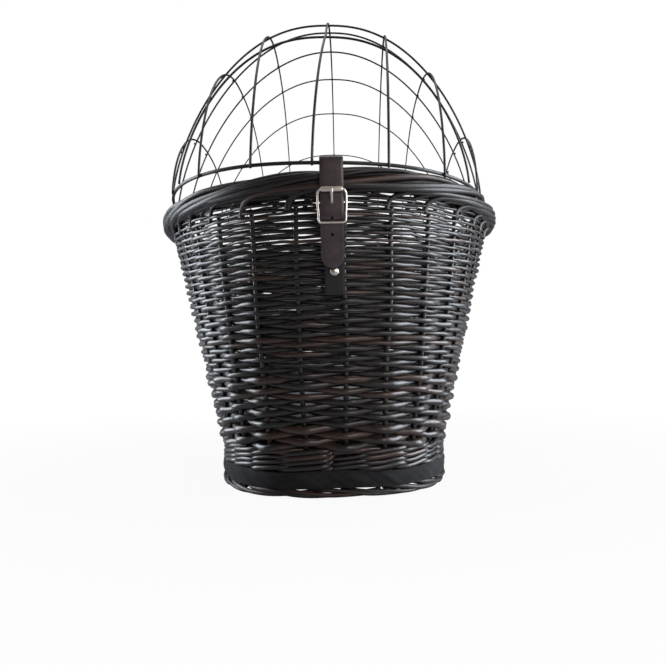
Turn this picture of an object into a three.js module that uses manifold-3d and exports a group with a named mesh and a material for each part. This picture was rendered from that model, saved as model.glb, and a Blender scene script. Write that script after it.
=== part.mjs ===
// A wicker dog basket for a bicycle's luggage carrier: an oval willow basket with a wire hood,
// a leather closure strap with a buckle, and clamps under its base. Millimetres, +Z up.
// +Y points forwards along the bicycle, and the closure strap is at the rear end, at -Y.
// The origin is at the middle of the foot, on the ground.

import * as THREE from "three";
import { mergeVertices } from "three/addons/utils/BufferGeometryUtils.js";
import Module from "manifold-3d";

// Gap between pieces that touch on the real object.
const clearance = 0.3;

// The mouth and its rolled border.
const rimHalfWidth = 183;
const rimHalfLength = 275;
const rimHeight = 272.5;
const borderDepth = 24;
const borderHeight = 25;
const rimSquareness = 2;

// The woven wall, which leans out in a straight line above flareStart.
const wallThickness = 12;
const wallSetback = 10;
const baseHalfWidth = 115.5;
const baseHalfLength = 218;
const baseSquareness = 2.85;
const flareStart = 37;
const waleProud = 1.5;
const waleHeight = 18;
const wallFacetDip = 0.6;

// The weave. Each row is a rod that runs outside one stake and inside the next, and the row
// above it swaps them. Low rows are thick and high rows thin.
const stakeCount = 32;
const stakeShift = 0.3;
const stakeDiameter = 4.4;
const lowRowPitch = 5.3;
const highRowPitch = 2.65;
const rodShareOfRow = 0.9;
const rowLean = 0.3;
const weaveSqueeze = 0.3;

// The foot under the wall.
const footBorderHeight = 9;
const footBorderDepth = 12;
const footSkirtHeight = 14.4;
const footSkirtThickness = 9;
const footSkirtSetback = 1.6;
const bandThickness = 2.6;
const bandBulge = 0.8;
const wovenBaseThickness = 8;

// The cushion that lies on the floor.
const cushionHeight = 48;
const cushionSideGap = 2;
const cushionEdgeRound = 14;
const cushionPinch = 4;

// The wire hood: its oval ring, the arches across it and the bars along it.
const hoodRingSetInAcross = 20;
const hoodRingSetInAlong = 3;
const hoodRingSquareness = 2.4;
const hoodRingLift = 5.8;
const hoodHeight = 194.6;
const hoodCrown = 1.97;
const hoodShoulder = 1.56;
const hoodForwardDrop = 0.066;
const hoodAskewDegrees = -1.6;
const hoodTiltDegrees = 1.2;
const ringWire = 3;
const hoodWire = 2;
const archEndGap = 86;
const archPairs = 3;
// How far in from the ring's side each lengthwise bar stands.
const outerBarInset = 20;
const secondBarRearInset = 59;
const thirdBarRearInset = 106;
const secondBarFrontInset = 65;
const thirdBarFrontInset = 100.5;
const middleBarRearPlace = 2;
const middleBarFrontPlace = 0;
const middleBarFootShift = -8;
const barFootLength = 2.6;
const barStandoff = 3;
const archStandoff = 0.5;

// The closure strap at the rear, and its buckle. A drop is a height below the top of the rim.
const closureX = 2;
const strapWidth = 19;
const strapThickness = 2;
const strapTipDrop = 77;
const strapHoleDiameter = 3;
const strapHoleSpacing = 12.2;
const prongHoleWidth = 3.4;
const prongHoleHeight = 6.4;
const prongHoleRise = 8.6;
const strapDip = 3.6;
const strapEyePlay = 1.3;
const strapEyeWall = 1.4;
const tabEyeWall = 1;
const buckleWire = 1.9;
const buckleTopDrop = 17;
const buckleMiddleDrop = 35.5;
const buckleBottomDrop = 42.5;
const buckleHalfWidth = 10.8;
const rollerDiameter = 4.2;
const rollerLength = 17;
const prongWire = 1.8;
const tabWidth = 16;
const tabShift = 1.2;
const tabThickness = 3.2;
const tabBottomDrop = 97.5;
const tabRivetDrop = 79.5;
const prongSlotWidth = 3.4;

// Rivets through the wicker wall.
const rivetShank = 3.4;
const rivetHead = 7;
const rivetHeadHeight = 2.2;
const rivetWasher = 9;
const rivetWasherThickness = 1.2;

// The leather loops at the front, in which the hood ring turns.
const hingeLoopX = 16;
const hingeLoopWidth = 14;
const hingeLoopThickness = 2;
const hingeLoopPlay = 2.6;
const hingeLoopSlack = 0.6;
const hingeLoopInnerSlack = 2.6;
const hingeRivetDrop = 47.5;

// The clamps that hold the basket on the luggage carrier.
const clampY = 95;
const boltX = 52;
const boltDiameter = 6;
const boltEndZ = 2;
const boltHeadDiameter = 13;
const boltHeadHeight = 3.2;
const floorPlateLength = 140;
const floorPlateWidth = 25;
const floorPlateThickness = 2;
const clampBarLength = 140;
const clampBarWidth = 22;
const clampBarThickness = 3;
const nutBossDiameter = 11;
const nutBossHeight = 5;
const wingSpan = 26;
const wingHeight = 9;
const wingThickness = 2.4;

// How finely the rounds are cut.
const ovalSteps = 48;
const evenOvalSteps = 192;
const wallBands = 4;
const ringSteps = 56;
const ringSides = 6;
const archSteps = 24;
const barSteps = 32;
const pathSteps = 60;
const barEndTries = 40;
const wireSides = 5;
const roundSides = 12;

// Heights and sizes that follow from the ones above.
const borderCentreZ = rimHeight - borderHeight / 2;
const wallTopZ = rimHeight - borderHeight - clearance;
const skirtBottomZ = footBorderHeight + clearance;
const skirtTopZ = skirtBottomZ + footSkirtHeight;
const waleBottomZ = skirtTopZ + clearance;
const waleTopZ = waleBottomZ + waleHeight;
const wallBottomZ = waleTopZ + clearance;
const wovenBaseTopZ = waleBottomZ + wovenBaseThickness;
const floorPlateTopZ = wovenBaseTopZ + clearance + floorPlateThickness;
const cushionBottomZ = floorPlateTopZ + clearance + boltHeadHeight + clearance;
const hoodRingHalfWidth = rimHalfWidth - hoodRingSetInAcross;
const hoodRingHalfLength = rimHalfLength - hoodRingSetInAlong;
const hoodRingZ = rimHeight + hoodRingLift;
const archSpacing = (hoodRingHalfLength - archEndGap) / archPairs;
const barPlaces = (middle, insets) => {
  const right = insets.map((inset) => hoodRingHalfWidth - inset);
  return [...right.map((place) => -place), middle, ...right.slice().reverse()];
};
const rearBarPlaces = barPlaces(middleBarRearPlace, [
  outerBarInset,
  secondBarRearInset,
  thirdBarRearInset,
]);
const frontBarPlaces = barPlaces(middleBarFrontPlace, [
  outerBarInset,
  secondBarFrontInset,
  thirdBarFrontInset,
]);
const buckleTopZ = rimHeight - buckleTopDrop;
const buckleMiddleZ = rimHeight - buckleMiddleDrop;
const buckleBottomZ = rimHeight - buckleBottomDrop;
const strapTipZ = rimHeight - strapTipDrop;
const tabBottomZ = rimHeight - tabBottomDrop;
const tabRivetZ = rimHeight - tabRivetDrop;
const hingeRivetZ = rimHeight - hingeRivetDrop;
const punchLength = 2.5 * borderDepth;
const hoodAskew = THREE.MathUtils.degToRad(hoodAskewDegrees);
const hoodPlace = new THREE.Matrix4()
  .makeTranslation(0, 0, hoodRingZ)
  .multiply(new THREE.Matrix4().makeRotationY(THREE.MathUtils.degToRad(hoodTiltDegrees)))
  .multiply(new THREE.Matrix4().makeRotationZ(hoodAskew));
const prongHoleZ = buckleMiddleZ + prongHoleRise;

const wasm = await Module();
wasm.setup();

const colours = {
  willow: { color: 0x1d1917, roughness: 0.45, metalness: 0 },
  fabric: { color: 0x1b1b1f, roughness: 0.95, metalness: 0 },
  cushion: { color: 0x8d8f92, roughness: 0.95, metalness: 0 },
  wire: { color: 0x1a1a1a, roughness: 0.4, metalness: 0.6 },
  leather: { color: 0x2b2226, roughness: 0.5, metalness: 0 },
  nickel: { color: 0xcfc5b8, roughness: 0.25, metalness: 1 },
  steel: { color: 0x9a9da0, roughness: 0.35, metalness: 1 },
};

const basket = new THREE.Group();
const hood = new THREE.Group();
hood.applyMatrix4(hoodPlace);
basket.add(hood);

function addPiece(parent, name, geometry, colour) {
  const mesh = new THREE.Mesh(geometry, new THREE.MeshStandardMaterial(colours[colour]));
  mesh.name = name;
  parent.add(mesh);
  return mesh;
}

// Half width, half length and squareness of the wall's outside at a height.
function wallOval(z) {
  const along = THREE.MathUtils.clamp((z - flareStart) / (wallTopZ - flareStart), 0, 1);
  return {
    halfWidth: THREE.MathUtils.lerp(baseHalfWidth, rimHalfWidth - wallSetback, along),
    halfLength: THREE.MathUtils.lerp(baseHalfLength, rimHalfLength - wallSetback, along),
    squareness: THREE.MathUtils.lerp(baseSquareness, rimSquareness, along),
  };
}

function inset(oval, depth, z) {
  return {
    halfWidth: oval.halfWidth - depth,
    halfLength: oval.halfLength - depth,
    squareness: oval.squareness,
    z,
  };
}

function ovalPoint(oval, angle) {
  const power = 2 / oval.squareness;
  const cosine = Math.cos(angle);
  const sine = Math.sin(angle);
  return new THREE.Vector3(
    Math.sign(cosine) * oval.halfWidth * Math.abs(cosine) ** power,
    Math.sign(sine) * oval.halfLength * Math.abs(sine) ** power,
    oval.z,
  );
}

function faceted(points, faces) {
  const geometry = new THREE.BufferGeometry();
  const places = points.flatMap((p) => [p.x, p.y, p.z]);
  geometry.setAttribute("position", new THREE.Float32BufferAttribute(places, 3));
  geometry.setIndex(faces);
  return geometry;
}

// A closed ring through sections that stand side by side, each a loop with as many points.
function ringThrough(sections) {
  const faces = [];
  const count = sections[0].length;
  for (let i = 0; i < sections.length; i += 1) {
    const next = (i + 1) % sections.length;
    for (let j = 0; j < count; j += 1) {
      const up = (j + 1) % count;
      const a = i * count + j;
      const b = next * count + j;
      const c = next * count + up;
      const d = i * count + up;
      faces.push(a, b, c, a, c, d);
    }
  }
  return faceted(sections.flat(), faces);
}

// A ring whose section is carried round the oval. The section runs up the outside.
function ovalRing(section) {
  const sections = [];
  for (let i = 0; i < ovalSteps; i += 1) {
    const angle = (2 * Math.PI * i) / ovalSteps;
    sections.push(section.map((oval) => ovalPoint(oval, angle)));
  }
  return ringThrough(sections);
}

// The oval as a curve from the rear end on, so that places round it can be given as shares of
// its length.
function ovalCurve(oval) {
  const points = [];
  for (let i = 0; i < evenOvalSteps; i += 1) {
    points.push(ovalPoint(oval, (2 * Math.PI * i) / evenOvalSteps - Math.PI / 2));
  }
  const curve = new THREE.CatmullRomCurve3(points, true);
  curve.arcLengthDivisions = 2 * evenOvalSteps;
  return curve;
}

// A solid oval body, closed at the middle of its bottom and of its top.
function ovalBody(section, bottomZ, topZ) {
  const points = [];
  const faces = [];
  const count = section.length;
  for (let i = 0; i < ovalSteps; i += 1) {
    const angle = (2 * Math.PI * i) / ovalSteps;
    section.forEach((oval) => points.push(ovalPoint(oval, angle)));
  }
  const bottom = points.length;
  points.push(new THREE.Vector3(0, 0, bottomZ));
  const top = points.length;
  points.push(new THREE.Vector3(0, 0, topZ));
  for (let i = 0; i < ovalSteps; i += 1) {
    const next = (i + 1) % ovalSteps;
    faces.push(bottom, next * count, i * count);
    for (let j = 0; j < count - 1; j += 1) {
      const a = i * count + j;
      const b = next * count + j;
      faces.push(a, b, b + 1, a, b + 1, a + 1);
    }
    faces.push(i * count + count - 1, next * count + count - 1, top);
  }
  return faceted(points, faces);
}

// The half-round ovals of a rolled border: its section is a flat-bottomed octagon.
function rolledSection(oval, depth, height, centreZ) {
  const sides = 8;
  const flatScale = 1 / Math.cos(Math.PI / sides);
  const section = [];
  for (let i = 0; i < sides; i += 1) {
    const angle = (2 * Math.PI * (i + 0.5)) / sides - Math.PI / 2;
    const outwards = (depth / 2) * Math.cos(angle) * flatScale;
    const upwards = (height / 2) * Math.sin(angle) * flatScale;
    section.push(inset(oval, depth / 2 - outwards, centreZ + upwards));
  }
  return section;
}

function roundShape(radius, sides) {
  const shape = new THREE.Shape();
  for (let i = 0; i < sides; i += 1) {
    const angle = (2 * Math.PI * i) / sides;
    const x = radius * Math.cos(angle);
    const y = radius * Math.sin(angle);
    if (i === 0) {
      shape.moveTo(x, y);
    } else {
      shape.lineTo(x, y);
    }
  }
  shape.closePath();
  return shape;
}

function wireAlong(curve, diameter, steps, sides) {
  return new THREE.ExtrudeGeometry(roundShape(diameter / 2, sides), {
    steps,
    extrudePath: curve,
    bevelEnabled: false,
  });
}

// A wire whose ends meet, through points that lie in one plane with the given normal. Seen
// against the normal, the points run anticlockwise.
function closedWire(centres, normal, diameter, sides) {
  const count = centres.length;
  return ringThrough(centres.map((centre, i) => {
    const along = centres[(i + 1) % count].clone().sub(centres[(i + count - 1) % count]);
    const outwards = along.cross(normal).normalize();
    const section = [];
    for (let j = 0; j < sides; j += 1) {
      const angle = (2 * Math.PI * j) / sides;
      const point = centre.clone();
      point.addScaledVector(outwards, (Math.cos(angle) * diameter) / 2);
      point.addScaledVector(normal, (Math.sin(angle) * diameter) / 2);
      section.push(point);
    }
    return section;
  }));
}

// A closed band of even thickness along a smooth path through points in a plane.
function bandShape(points, thickness, divisions) {
  const path = new THREE.SplineCurve(points.map(([x, y]) => new THREE.Vector2(x, y)));
  const left = [];
  const right = [];
  for (let i = 0; i <= divisions; i += 1) {
    const point = path.getPointAt(i / divisions);
    const tangent = path.getTangentAt(i / divisions);
    const side = new THREE.Vector2(-tangent.y, tangent.x).multiplyScalar(thickness / 2);
    left.push(point.clone().add(side));
    right.push(point.clone().sub(side));
  }
  return new THREE.Shape([...right, ...left.reverse()]);
}

// Extrudes a shape drawn in (distance from the middle, height) across the basket, centred on x.
// The end is +1 at the front and -1 at the rear.
function acrossX(shape, width, x, end) {
  const geometry = new THREE.ExtrudeGeometry(shape, { depth: width, bevelEnabled: false });
  geometry.applyMatrix4(new THREE.Matrix4().makeBasis(
    new THREE.Vector3(0, end, 0),
    new THREE.Vector3(0, 0, 1),
    new THREE.Vector3(end, 0, 0),
  ));
  geometry.translate(x - (end * width) / 2, 0, 0);
  return geometry;
}

function toSolid(geometry) {
  const bare = geometry.clone();
  bare.deleteAttribute("normal");
  bare.deleteAttribute("uv");
  const merged = mergeVertices(bare, 1e-4);
  return new wasm.Manifold(new wasm.Mesh({
    numProp: 3,
    vertProperties: merged.attributes.position.array,
    triVerts: new Uint32Array(merged.index.array),
  }));
}

function fromSolid(solid) {
  const mesh = solid.getMesh();
  const geometry = new THREE.BufferGeometry();
  geometry.setAttribute("position", new THREE.BufferAttribute(mesh.vertProperties, 3));
  geometry.setIndex(new THREE.BufferAttribute(mesh.triVerts, 1));
  return geometry;
}

function cut(geometry, ...tools) {
  return fromSolid(tools.reduce((solid, tool) => solid.subtract(toSolid(tool)), toSolid(geometry)));
}

function join(geometry, ...others) {
  return fromSolid(others.reduce((solid, other) => solid.add(toSolid(other)), toSolid(geometry)));
}

function keepInside(geometry, limit) {
  return fromSolid(toSolid(geometry).intersect(toSolid(limit)));
}

function rodAlongY(diameter, length, x, y, z, sides = roundSides) {
  return new THREE.CylinderGeometry(diameter / 2, diameter / 2, length, sides).translate(x, y, z);
}

function rodAlongZ(diameter, bottomZ, topZ, x, y) {
  const length = topZ - bottomZ;
  return new THREE.CylinderGeometry(diameter / 2, diameter / 2, length, roundSides)
    .rotateX(Math.PI / 2)
    .translate(x, y, bottomZ + length / 2);
}

// Distance of the wall's outside from the middle, at the middle of the front or rear end.
function wallReach(z) {
  return wallOval(z).halfLength;
}

// A dome-headed rivet from an outer face to an inner face, both given as distances from the middle.
function rivetGeometry(outerReach, innerReach) {
  const profile = [
    [0, innerReach - rivetWasherThickness],
    [rivetWasher / 2, innerReach - rivetWasherThickness],
    [rivetWasher / 2, innerReach],
    [rivetShank / 2, innerReach],
    [rivetShank / 2, outerReach],
    [rivetHead / 2, outerReach],
    [rivetHead * 0.42, outerReach + rivetHeadHeight * 0.6],
    [rivetHead * 0.22, outerReach + rivetHeadHeight * 0.92],
    [0, outerReach + rivetHeadHeight],
  ];
  return new THREE.LatheGeometry(profile.map(([r, h]) => new THREE.Vector2(r, h)), roundSides);
}

function makeFoot() {
  const base = inset(wallOval(0), 0, 0);
  const footOval = inset(base, -bandThickness, 0);
  const footSection = rolledSection(footOval, footBorderDepth, footBorderHeight, footBorderHeight / 2);
  addPiece(basket, "foot_border", ovalRing(footSection), "willow");
  const skirtOuter = footSkirtSetback;
  const skirtInner = footSkirtSetback + footSkirtThickness;
  addPiece(basket, "foot_skirt", ovalRing([
    inset(base, skirtOuter, skirtBottomZ),
    inset(base, skirtOuter, skirtTopZ),
    inset(base, skirtInner, skirtTopZ),
    inset(base, skirtInner, skirtBottomZ),
  ]), "willow");
  const bandInner = skirtOuter - clearance;
  const bandOuter = bandInner - bandThickness;
  const bandMiddle = bandOuter - bandBulge;
  const bandMiddleZ = (skirtBottomZ + skirtTopZ) / 2;
  addPiece(basket, "base_band", ovalRing([
    inset(base, bandOuter, skirtBottomZ),
    inset(base, bandMiddle, bandMiddleZ),
    inset(base, bandOuter, skirtTopZ),
    inset(base, bandInner, skirtTopZ),
    inset(base, bandInner, skirtBottomZ),
  ]), "fabric");
}

function boltPlaces() {
  const places = [];
  [["rear", -1], ["front", 1]].forEach(([end, sign]) => {
    [["left", -1], ["right", 1]].forEach(([side, across]) => {
      places.push({ name: `${end}_${side}`, x: across * boltX, y: sign * clampY });
    });
  });
  return places;
}

function boltHoles(bottomZ, topZ) {
  const holeDiameter = boltDiameter + 2 * clearance;
  return boltPlaces().map((p) => rodAlongZ(holeDiameter, bottomZ - 1, topZ + 1, p.x, p.y));
}

// Middle height and height of each row of the weave, from the bottom up.
function weaveRows() {
  const rows = [];
  let z = wallBottomZ + lowRowPitch / 2;
  while (z < wallTopZ - highRowPitch / 2) {
    const pitch = THREE.MathUtils.mapLinear(z, wallBottomZ, wallTopZ, lowRowPitch, highRowPitch);
    rows.push({ z, pitch });
    z += pitch;
  }
  return rows;
}

// How deep in the wall the weave's face lies. The wave is 1 where the row's rod runs outside a
// stake, -1 where it runs inside one and the stake shows, and 0 midway between two stakes.
function weaveDepth(pitch, wave) {
  const rod = pitch * rodShareOfRow;
  const middle = wallThickness / 2;
  if (wave > 0) {
    return Math.max(middle + weaveSqueeze - stakeDiameter / 2 - rod, 0);
  }
  return wave < 0 ? middle - stakeDiameter / 2 : middle - rod / 2;
}

// The wall as one solid, with a point of its face at each stake and midway between two stakes.
function wovenWall() {
  const places = 2 * stakeCount;
  const sections = Array.from({ length: places }, () => []);
  const addLevel = (z, faceAt) => {
    const oval = inset(wallOval(z), 0, z);
    const curve = ovalCurve(oval);
    sections.forEach((section, i) => {
      const share = (i / 2 + stakeShift) / stakeCount;
      const { depth, lift } = faceAt(i);
      const along = curve.getTangentAt(share);
      const inwards = new THREE.Vector3(-along.y, along.x, 0).normalize();
      const point = curve.getPointAt(share).addScaledVector(inwards, depth);
      section.push(point.setZ(z + lift));
    });
  };
  const edge = () => ({ depth: wallThickness / 3, lift: 0 });
  addLevel(wallBottomZ, edge);
  weaveRows().forEach(({ z, pitch }, row) => addLevel(z, (i) => {
    const wave = Math.round(Math.cos((Math.PI * (i + 2 * row)) / 2));
    return { depth: weaveDepth(pitch, wave), lift: wave === 0 ? 0 : -rowLean * pitch };
  }));
  addLevel(wallTopZ, edge);
  for (let i = wallBands; i >= 0; i -= 1) {
    addLevel(THREE.MathUtils.lerp(wallBottomZ, wallTopZ, i / wallBands), () => ({
      depth: wallThickness,
      lift: 0,
    }));
  }
  return ringThrough(sections);
}

function makeWall() {
  const holeDiameter = rivetShank + 2 * clearance;
  const holeLength = 4 * wallThickness;
  const holes = [
    rodAlongY(holeDiameter, holeLength, closureX + tabShift, -wallReach(tabRivetZ), tabRivetZ),
    ...hingeLoops().map((loop) => {
      const reach = loop.rimGap + wallReach(hingeRivetZ) - rimHalfLength;
      return carriedTo(rodAlongY(holeDiameter, holeLength, 0, reach, hingeRivetZ), loop);
    }),
  ];
  addPiece(basket, "side_weave", cut(wovenWall(), ...holes), "willow");

  const wale = (z) => inset(wallOval(z), -waleProud, z);
  const waleInside = (z) => inset(wallOval(z), wallThickness, z);
  addPiece(basket, "bottom_wale", ovalRing([
    wale(waleBottomZ),
    wale(waleTopZ),
    waleInside(waleTopZ),
    waleInside(waleBottomZ),
  ]), "willow");

  const rim = { halfWidth: rimHalfWidth, halfLength: rimHalfLength, squareness: rimSquareness };
  const rimSection = rolledSection(rim, borderDepth, borderHeight, borderCentreZ);
  addPiece(basket, "rim_border", ovalRing(rimSection), "willow");
}

function makeFloor() {
  const floorInset = wallThickness + clearance;
  const floorSection = [waleBottomZ, wovenBaseTopZ].map((z) => inset(wallOval(z), floorInset, z));
  const floor = ovalBody(floorSection, waleBottomZ, wovenBaseTopZ);
  addPiece(basket, "woven_base", cut(floor, ...boltHoles(waleBottomZ, wovenBaseTopZ)), "willow");

  const cushionOval = inset(wallOval(cushionBottomZ), wallThickness + cushionSideGap, 0);
  const edge = cushionEdgeRound;
  const topZ = cushionBottomZ + cushionHeight;
  const layers = [
    [edge * 0.6, cushionBottomZ],
    [0, cushionBottomZ + edge * 0.7],
    [cushionPinch, cushionBottomZ + cushionHeight * 0.42],
    [0, topZ - edge],
    [edge * 0.35, topZ - edge * 0.45],
    [edge * 1.3, topZ - edge * 0.12],
    [edge * 3, topZ],
    [edge * 4.6, topZ + edge * 0.2],
  ];
  const section = layers.map(([depth, z]) => inset(cushionOval, depth, z));
  addPiece(basket, "floor_cushion", ovalBody(section, cushionBottomZ, topZ + edge * 0.3), "cushion");
}

// The other share of a point on the hood's oval, where one share of its half size is given.
function otherShare(share) {
  return (1 - Math.abs(share) ** hoodRingSquareness) ** (1 / hoodRingSquareness);
}

// Height of the hood's wires over its ring. The standoff sets a wire off outwards.
function hoodRise(x, y, standoff) {
  const across = Math.abs(x) / (hoodRingHalfWidth + standoff);
  const along = Math.abs(y) / (hoodRingHalfLength + standoff);
  const power = hoodRingSquareness;
  const share = Math.min((across ** power + along ** power) ** (1 / power), 1);
  const dome = (1 - share ** hoodCrown) ** (1 / hoodShoulder);
  const drop = 1 - (hoodForwardDrop * y) / hoodRingHalfLength;
  return (hoodHeight + standoff) * dome * drop;
}

// The x of a bar where it passes y. The bars don't run quite side by side, and the middle one
// turns aside behind the rear arch, so that its foot clears the closure strap.
function barX(number, y) {
  const last = archPairs * archSpacing;
  const x = THREE.MathUtils.mapLinear(y, -last, last, rearBarPlaces[number], frontBarPlaces[number]);
  if (number !== (rearBarPlaces.length - 1) / 2) {
    return x;
  }
  const behind = (-y - last) / (hoodRingHalfLength + barStandoff - last);
  return x + middleBarFootShift * THREE.MathUtils.clamp(behind, 0, 1);
}

// The y at which a bar leaves the hood, at the front for +1 and at the rear for -1.
function barEnd(number, end) {
  let y = 0;
  for (let i = 0; i < barEndTries; i += 1) {
    const across = barX(number, y) / (hoodRingHalfWidth + barStandoff);
    y = end * (hoodRingHalfLength + barStandoff) * otherShare(across);
  }
  return y;
}

function archPath(y) {
  const share = otherShare(y / (hoodRingHalfLength + archStandoff));
  const halfWidth = (hoodRingHalfWidth + archStandoff) * share;
  const lowest = ringWire / 2 + hoodWire / 2 + clearance;
  const points = [];
  for (let i = 0; i <= pathSteps; i += 1) {
    const x = halfWidth * Math.cos((Math.PI * i) / pathSteps);
    const z = hoodRise(x, y, archStandoff);
    if (z > lowest) {
      points.push(new THREE.Vector3(x, y, z));
    }
  }
  const first = new THREE.Vector3(halfWidth, y, lowest);
  const last = new THREE.Vector3(-halfWidth, y, lowest);
  return new THREE.CatmullRomCurve3([first, ...points, last]);
}

function barPath(number) {
  const frontY = barEnd(number, 1);
  const rearY = barEnd(number, -1);
  const points = [new THREE.Vector3(barX(number, frontY), frontY, -barFootLength)];
  for (let i = 0; i <= pathSteps; i += 1) {
    const turn = (1 + Math.cos((Math.PI * i) / pathSteps)) / 2;
    const y = THREE.MathUtils.lerp(rearY, frontY, turn);
    const x = barX(number, y);
    points.push(new THREE.Vector3(x, y, hoodRise(x, y, barStandoff)));
  }
  points.push(new THREE.Vector3(barX(number, rearY), rearY, -barFootLength));
  return new THREE.CatmullRomCurve3(points);
}

function makeHood() {
  const oval = {
    halfWidth: hoodRingHalfWidth,
    halfLength: hoodRingHalfLength,
    squareness: hoodRingSquareness,
    z: 0,
  };
  const ring = ovalCurve(oval).getSpacedPoints(ringSteps).slice(0, ringSteps);
  const upwards = new THREE.Vector3(0, 0, 1);
  addPiece(hood, "hood_ring", closedWire(ring, upwards, ringWire, ringSides), "wire");

  for (let i = -archPairs; i <= archPairs; i += 1) {
    const arch = wireAlong(archPath(i * archSpacing), hoodWire, archSteps, wireSides);
    addPiece(hood, `hood_arch_${i + archPairs + 1}`, arch, "wire");
  }

  rearBarPlaces.forEach((place, number) => {
    const bar = wireAlong(barPath(number), hoodWire, barSteps, wireSides);
    addPiece(hood, `hood_bar_${number + 1}`, bar, "wire");
  });
}

// A point of the hood ring's middle line, where the hood's own x is given, at the front end
// for +1 and at the rear end for -1.
function hoodRingAt(localX, end) {
  const localY = end * hoodRingHalfLength * otherShare(localX / hoodRingHalfWidth);
  return new THREE.Vector3(localX, localY, 0).applyMatrix4(hoodPlace);
}

// Where the closure strap, the tab and the buckle lie, as distance from the middle and height.
// Each layer is set off the one behind it.
function closurePlaces() {
  const strapHalf = strapThickness / 2;
  const wireHalf = buckleWire / 2;
  const strapOverBorder = rimHalfLength + clearance + strapHalf;
  const rollerReach = strapOverBorder + strapHalf + clearance + rollerDiameter / 2;
  const tabEyeRadius = wireHalf + clearance + tabEyeWall;
  const middleReach = strapOverBorder - strapHalf - clearance - tabEyeRadius;
  const bottomStrap = strapOverBorder - strapDip;
  const bottomReach = bottomStrap + strapHalf * 2 + clearance + wireHalf;
  const ringX = closureX - hoodRingHalfLength * Math.sin(hoodAskew);
  const ringReach = -hoodRingAt(ringX, -1).y - 0.4;
  return {
    strapOverBorder, rollerReach, tabEyeRadius, middleReach, bottomStrap, bottomReach, ringReach,
  };
}

function makeClosureStrap() {
  const { strapOverBorder, bottomStrap, ringReach } = closurePlaces();
  const eyeInner = ringWire / 2 + strapEyePlay;
  const path = [
    [ringReach + eyeInner + strapEyeWall / 2, hoodRingZ - 0.6],
    [strapOverBorder - 0.6, rimHeight - 1],
    [strapOverBorder, borderCentreZ + 3],
    [strapOverBorder, buckleTopZ - 2],
    [strapOverBorder, buckleMiddleZ - 0.6],
    [bottomStrap + 1.6, buckleBottomZ + 2.4],
    [bottomStrap, buckleBottomZ],
    [bottomStrap - 3.4, buckleBottomZ - 8],
    [wallReach(strapTipZ) + 9.6, strapTipZ + 9],
    [wallReach(strapTipZ) + 7.4, strapTipZ - 1],
  ];
  const band = acrossX(bandShape(path, strapThickness, 26), strapWidth, closureX, -1);
  const eye = roundShape(eyeInner + strapEyeWall, 16);
  const eyeSolid = acrossX(eye, strapWidth, closureX, -1).translate(0, -ringReach, hoodRingZ);
  const eyeHole = acrossX(roundShape(eyeInner, 16), strapWidth + 2, closureX, -1)
    .translate(0, -ringReach, hoodRingZ);
  const outline = new THREE.Shape();
  const half = strapWidth / 2;
  outline.moveTo(-half, hoodRingZ + 20);
  outline.lineTo(-half, strapTipZ + half * 0.9);
  outline.quadraticCurveTo(-half * 0.95, strapTipZ + half * 0.1, 0, strapTipZ);
  outline.quadraticCurveTo(
    half * 0.95,
    strapTipZ + half * 0.1,
    half,
    strapTipZ + half * 0.9,
  );
  outline.lineTo(half, hoodRingZ + 20);
  const limit = new THREE.ExtrudeGeometry(outline, {
    depth: 2 * punchLength,
    bevelEnabled: false,
    curveSegments: 6,
  })
    .rotateX(Math.PI / 2)
    .translate(closureX, punchLength - rimHalfLength, 0);
  const strapHoles = [1, 2].map((step) => rodAlongY(
    strapHoleDiameter,
    punchLength,
    closureX,
    -rimHalfLength,
    prongHoleZ - step * strapHoleSpacing,
  ));
  const prongHole = rodAlongY(prongHoleWidth, punchLength, 0, 0, 0)
    .scale(1, 1, prongHoleHeight / prongHoleWidth)
    .translate(closureX, -rimHalfLength, prongHoleZ);
  const strap = keepInside(join(band, eyeSolid), limit);
  addPiece(basket, "closure_strap", cut(strap, eyeHole, prongHole, ...strapHoles), "leather");
}

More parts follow.
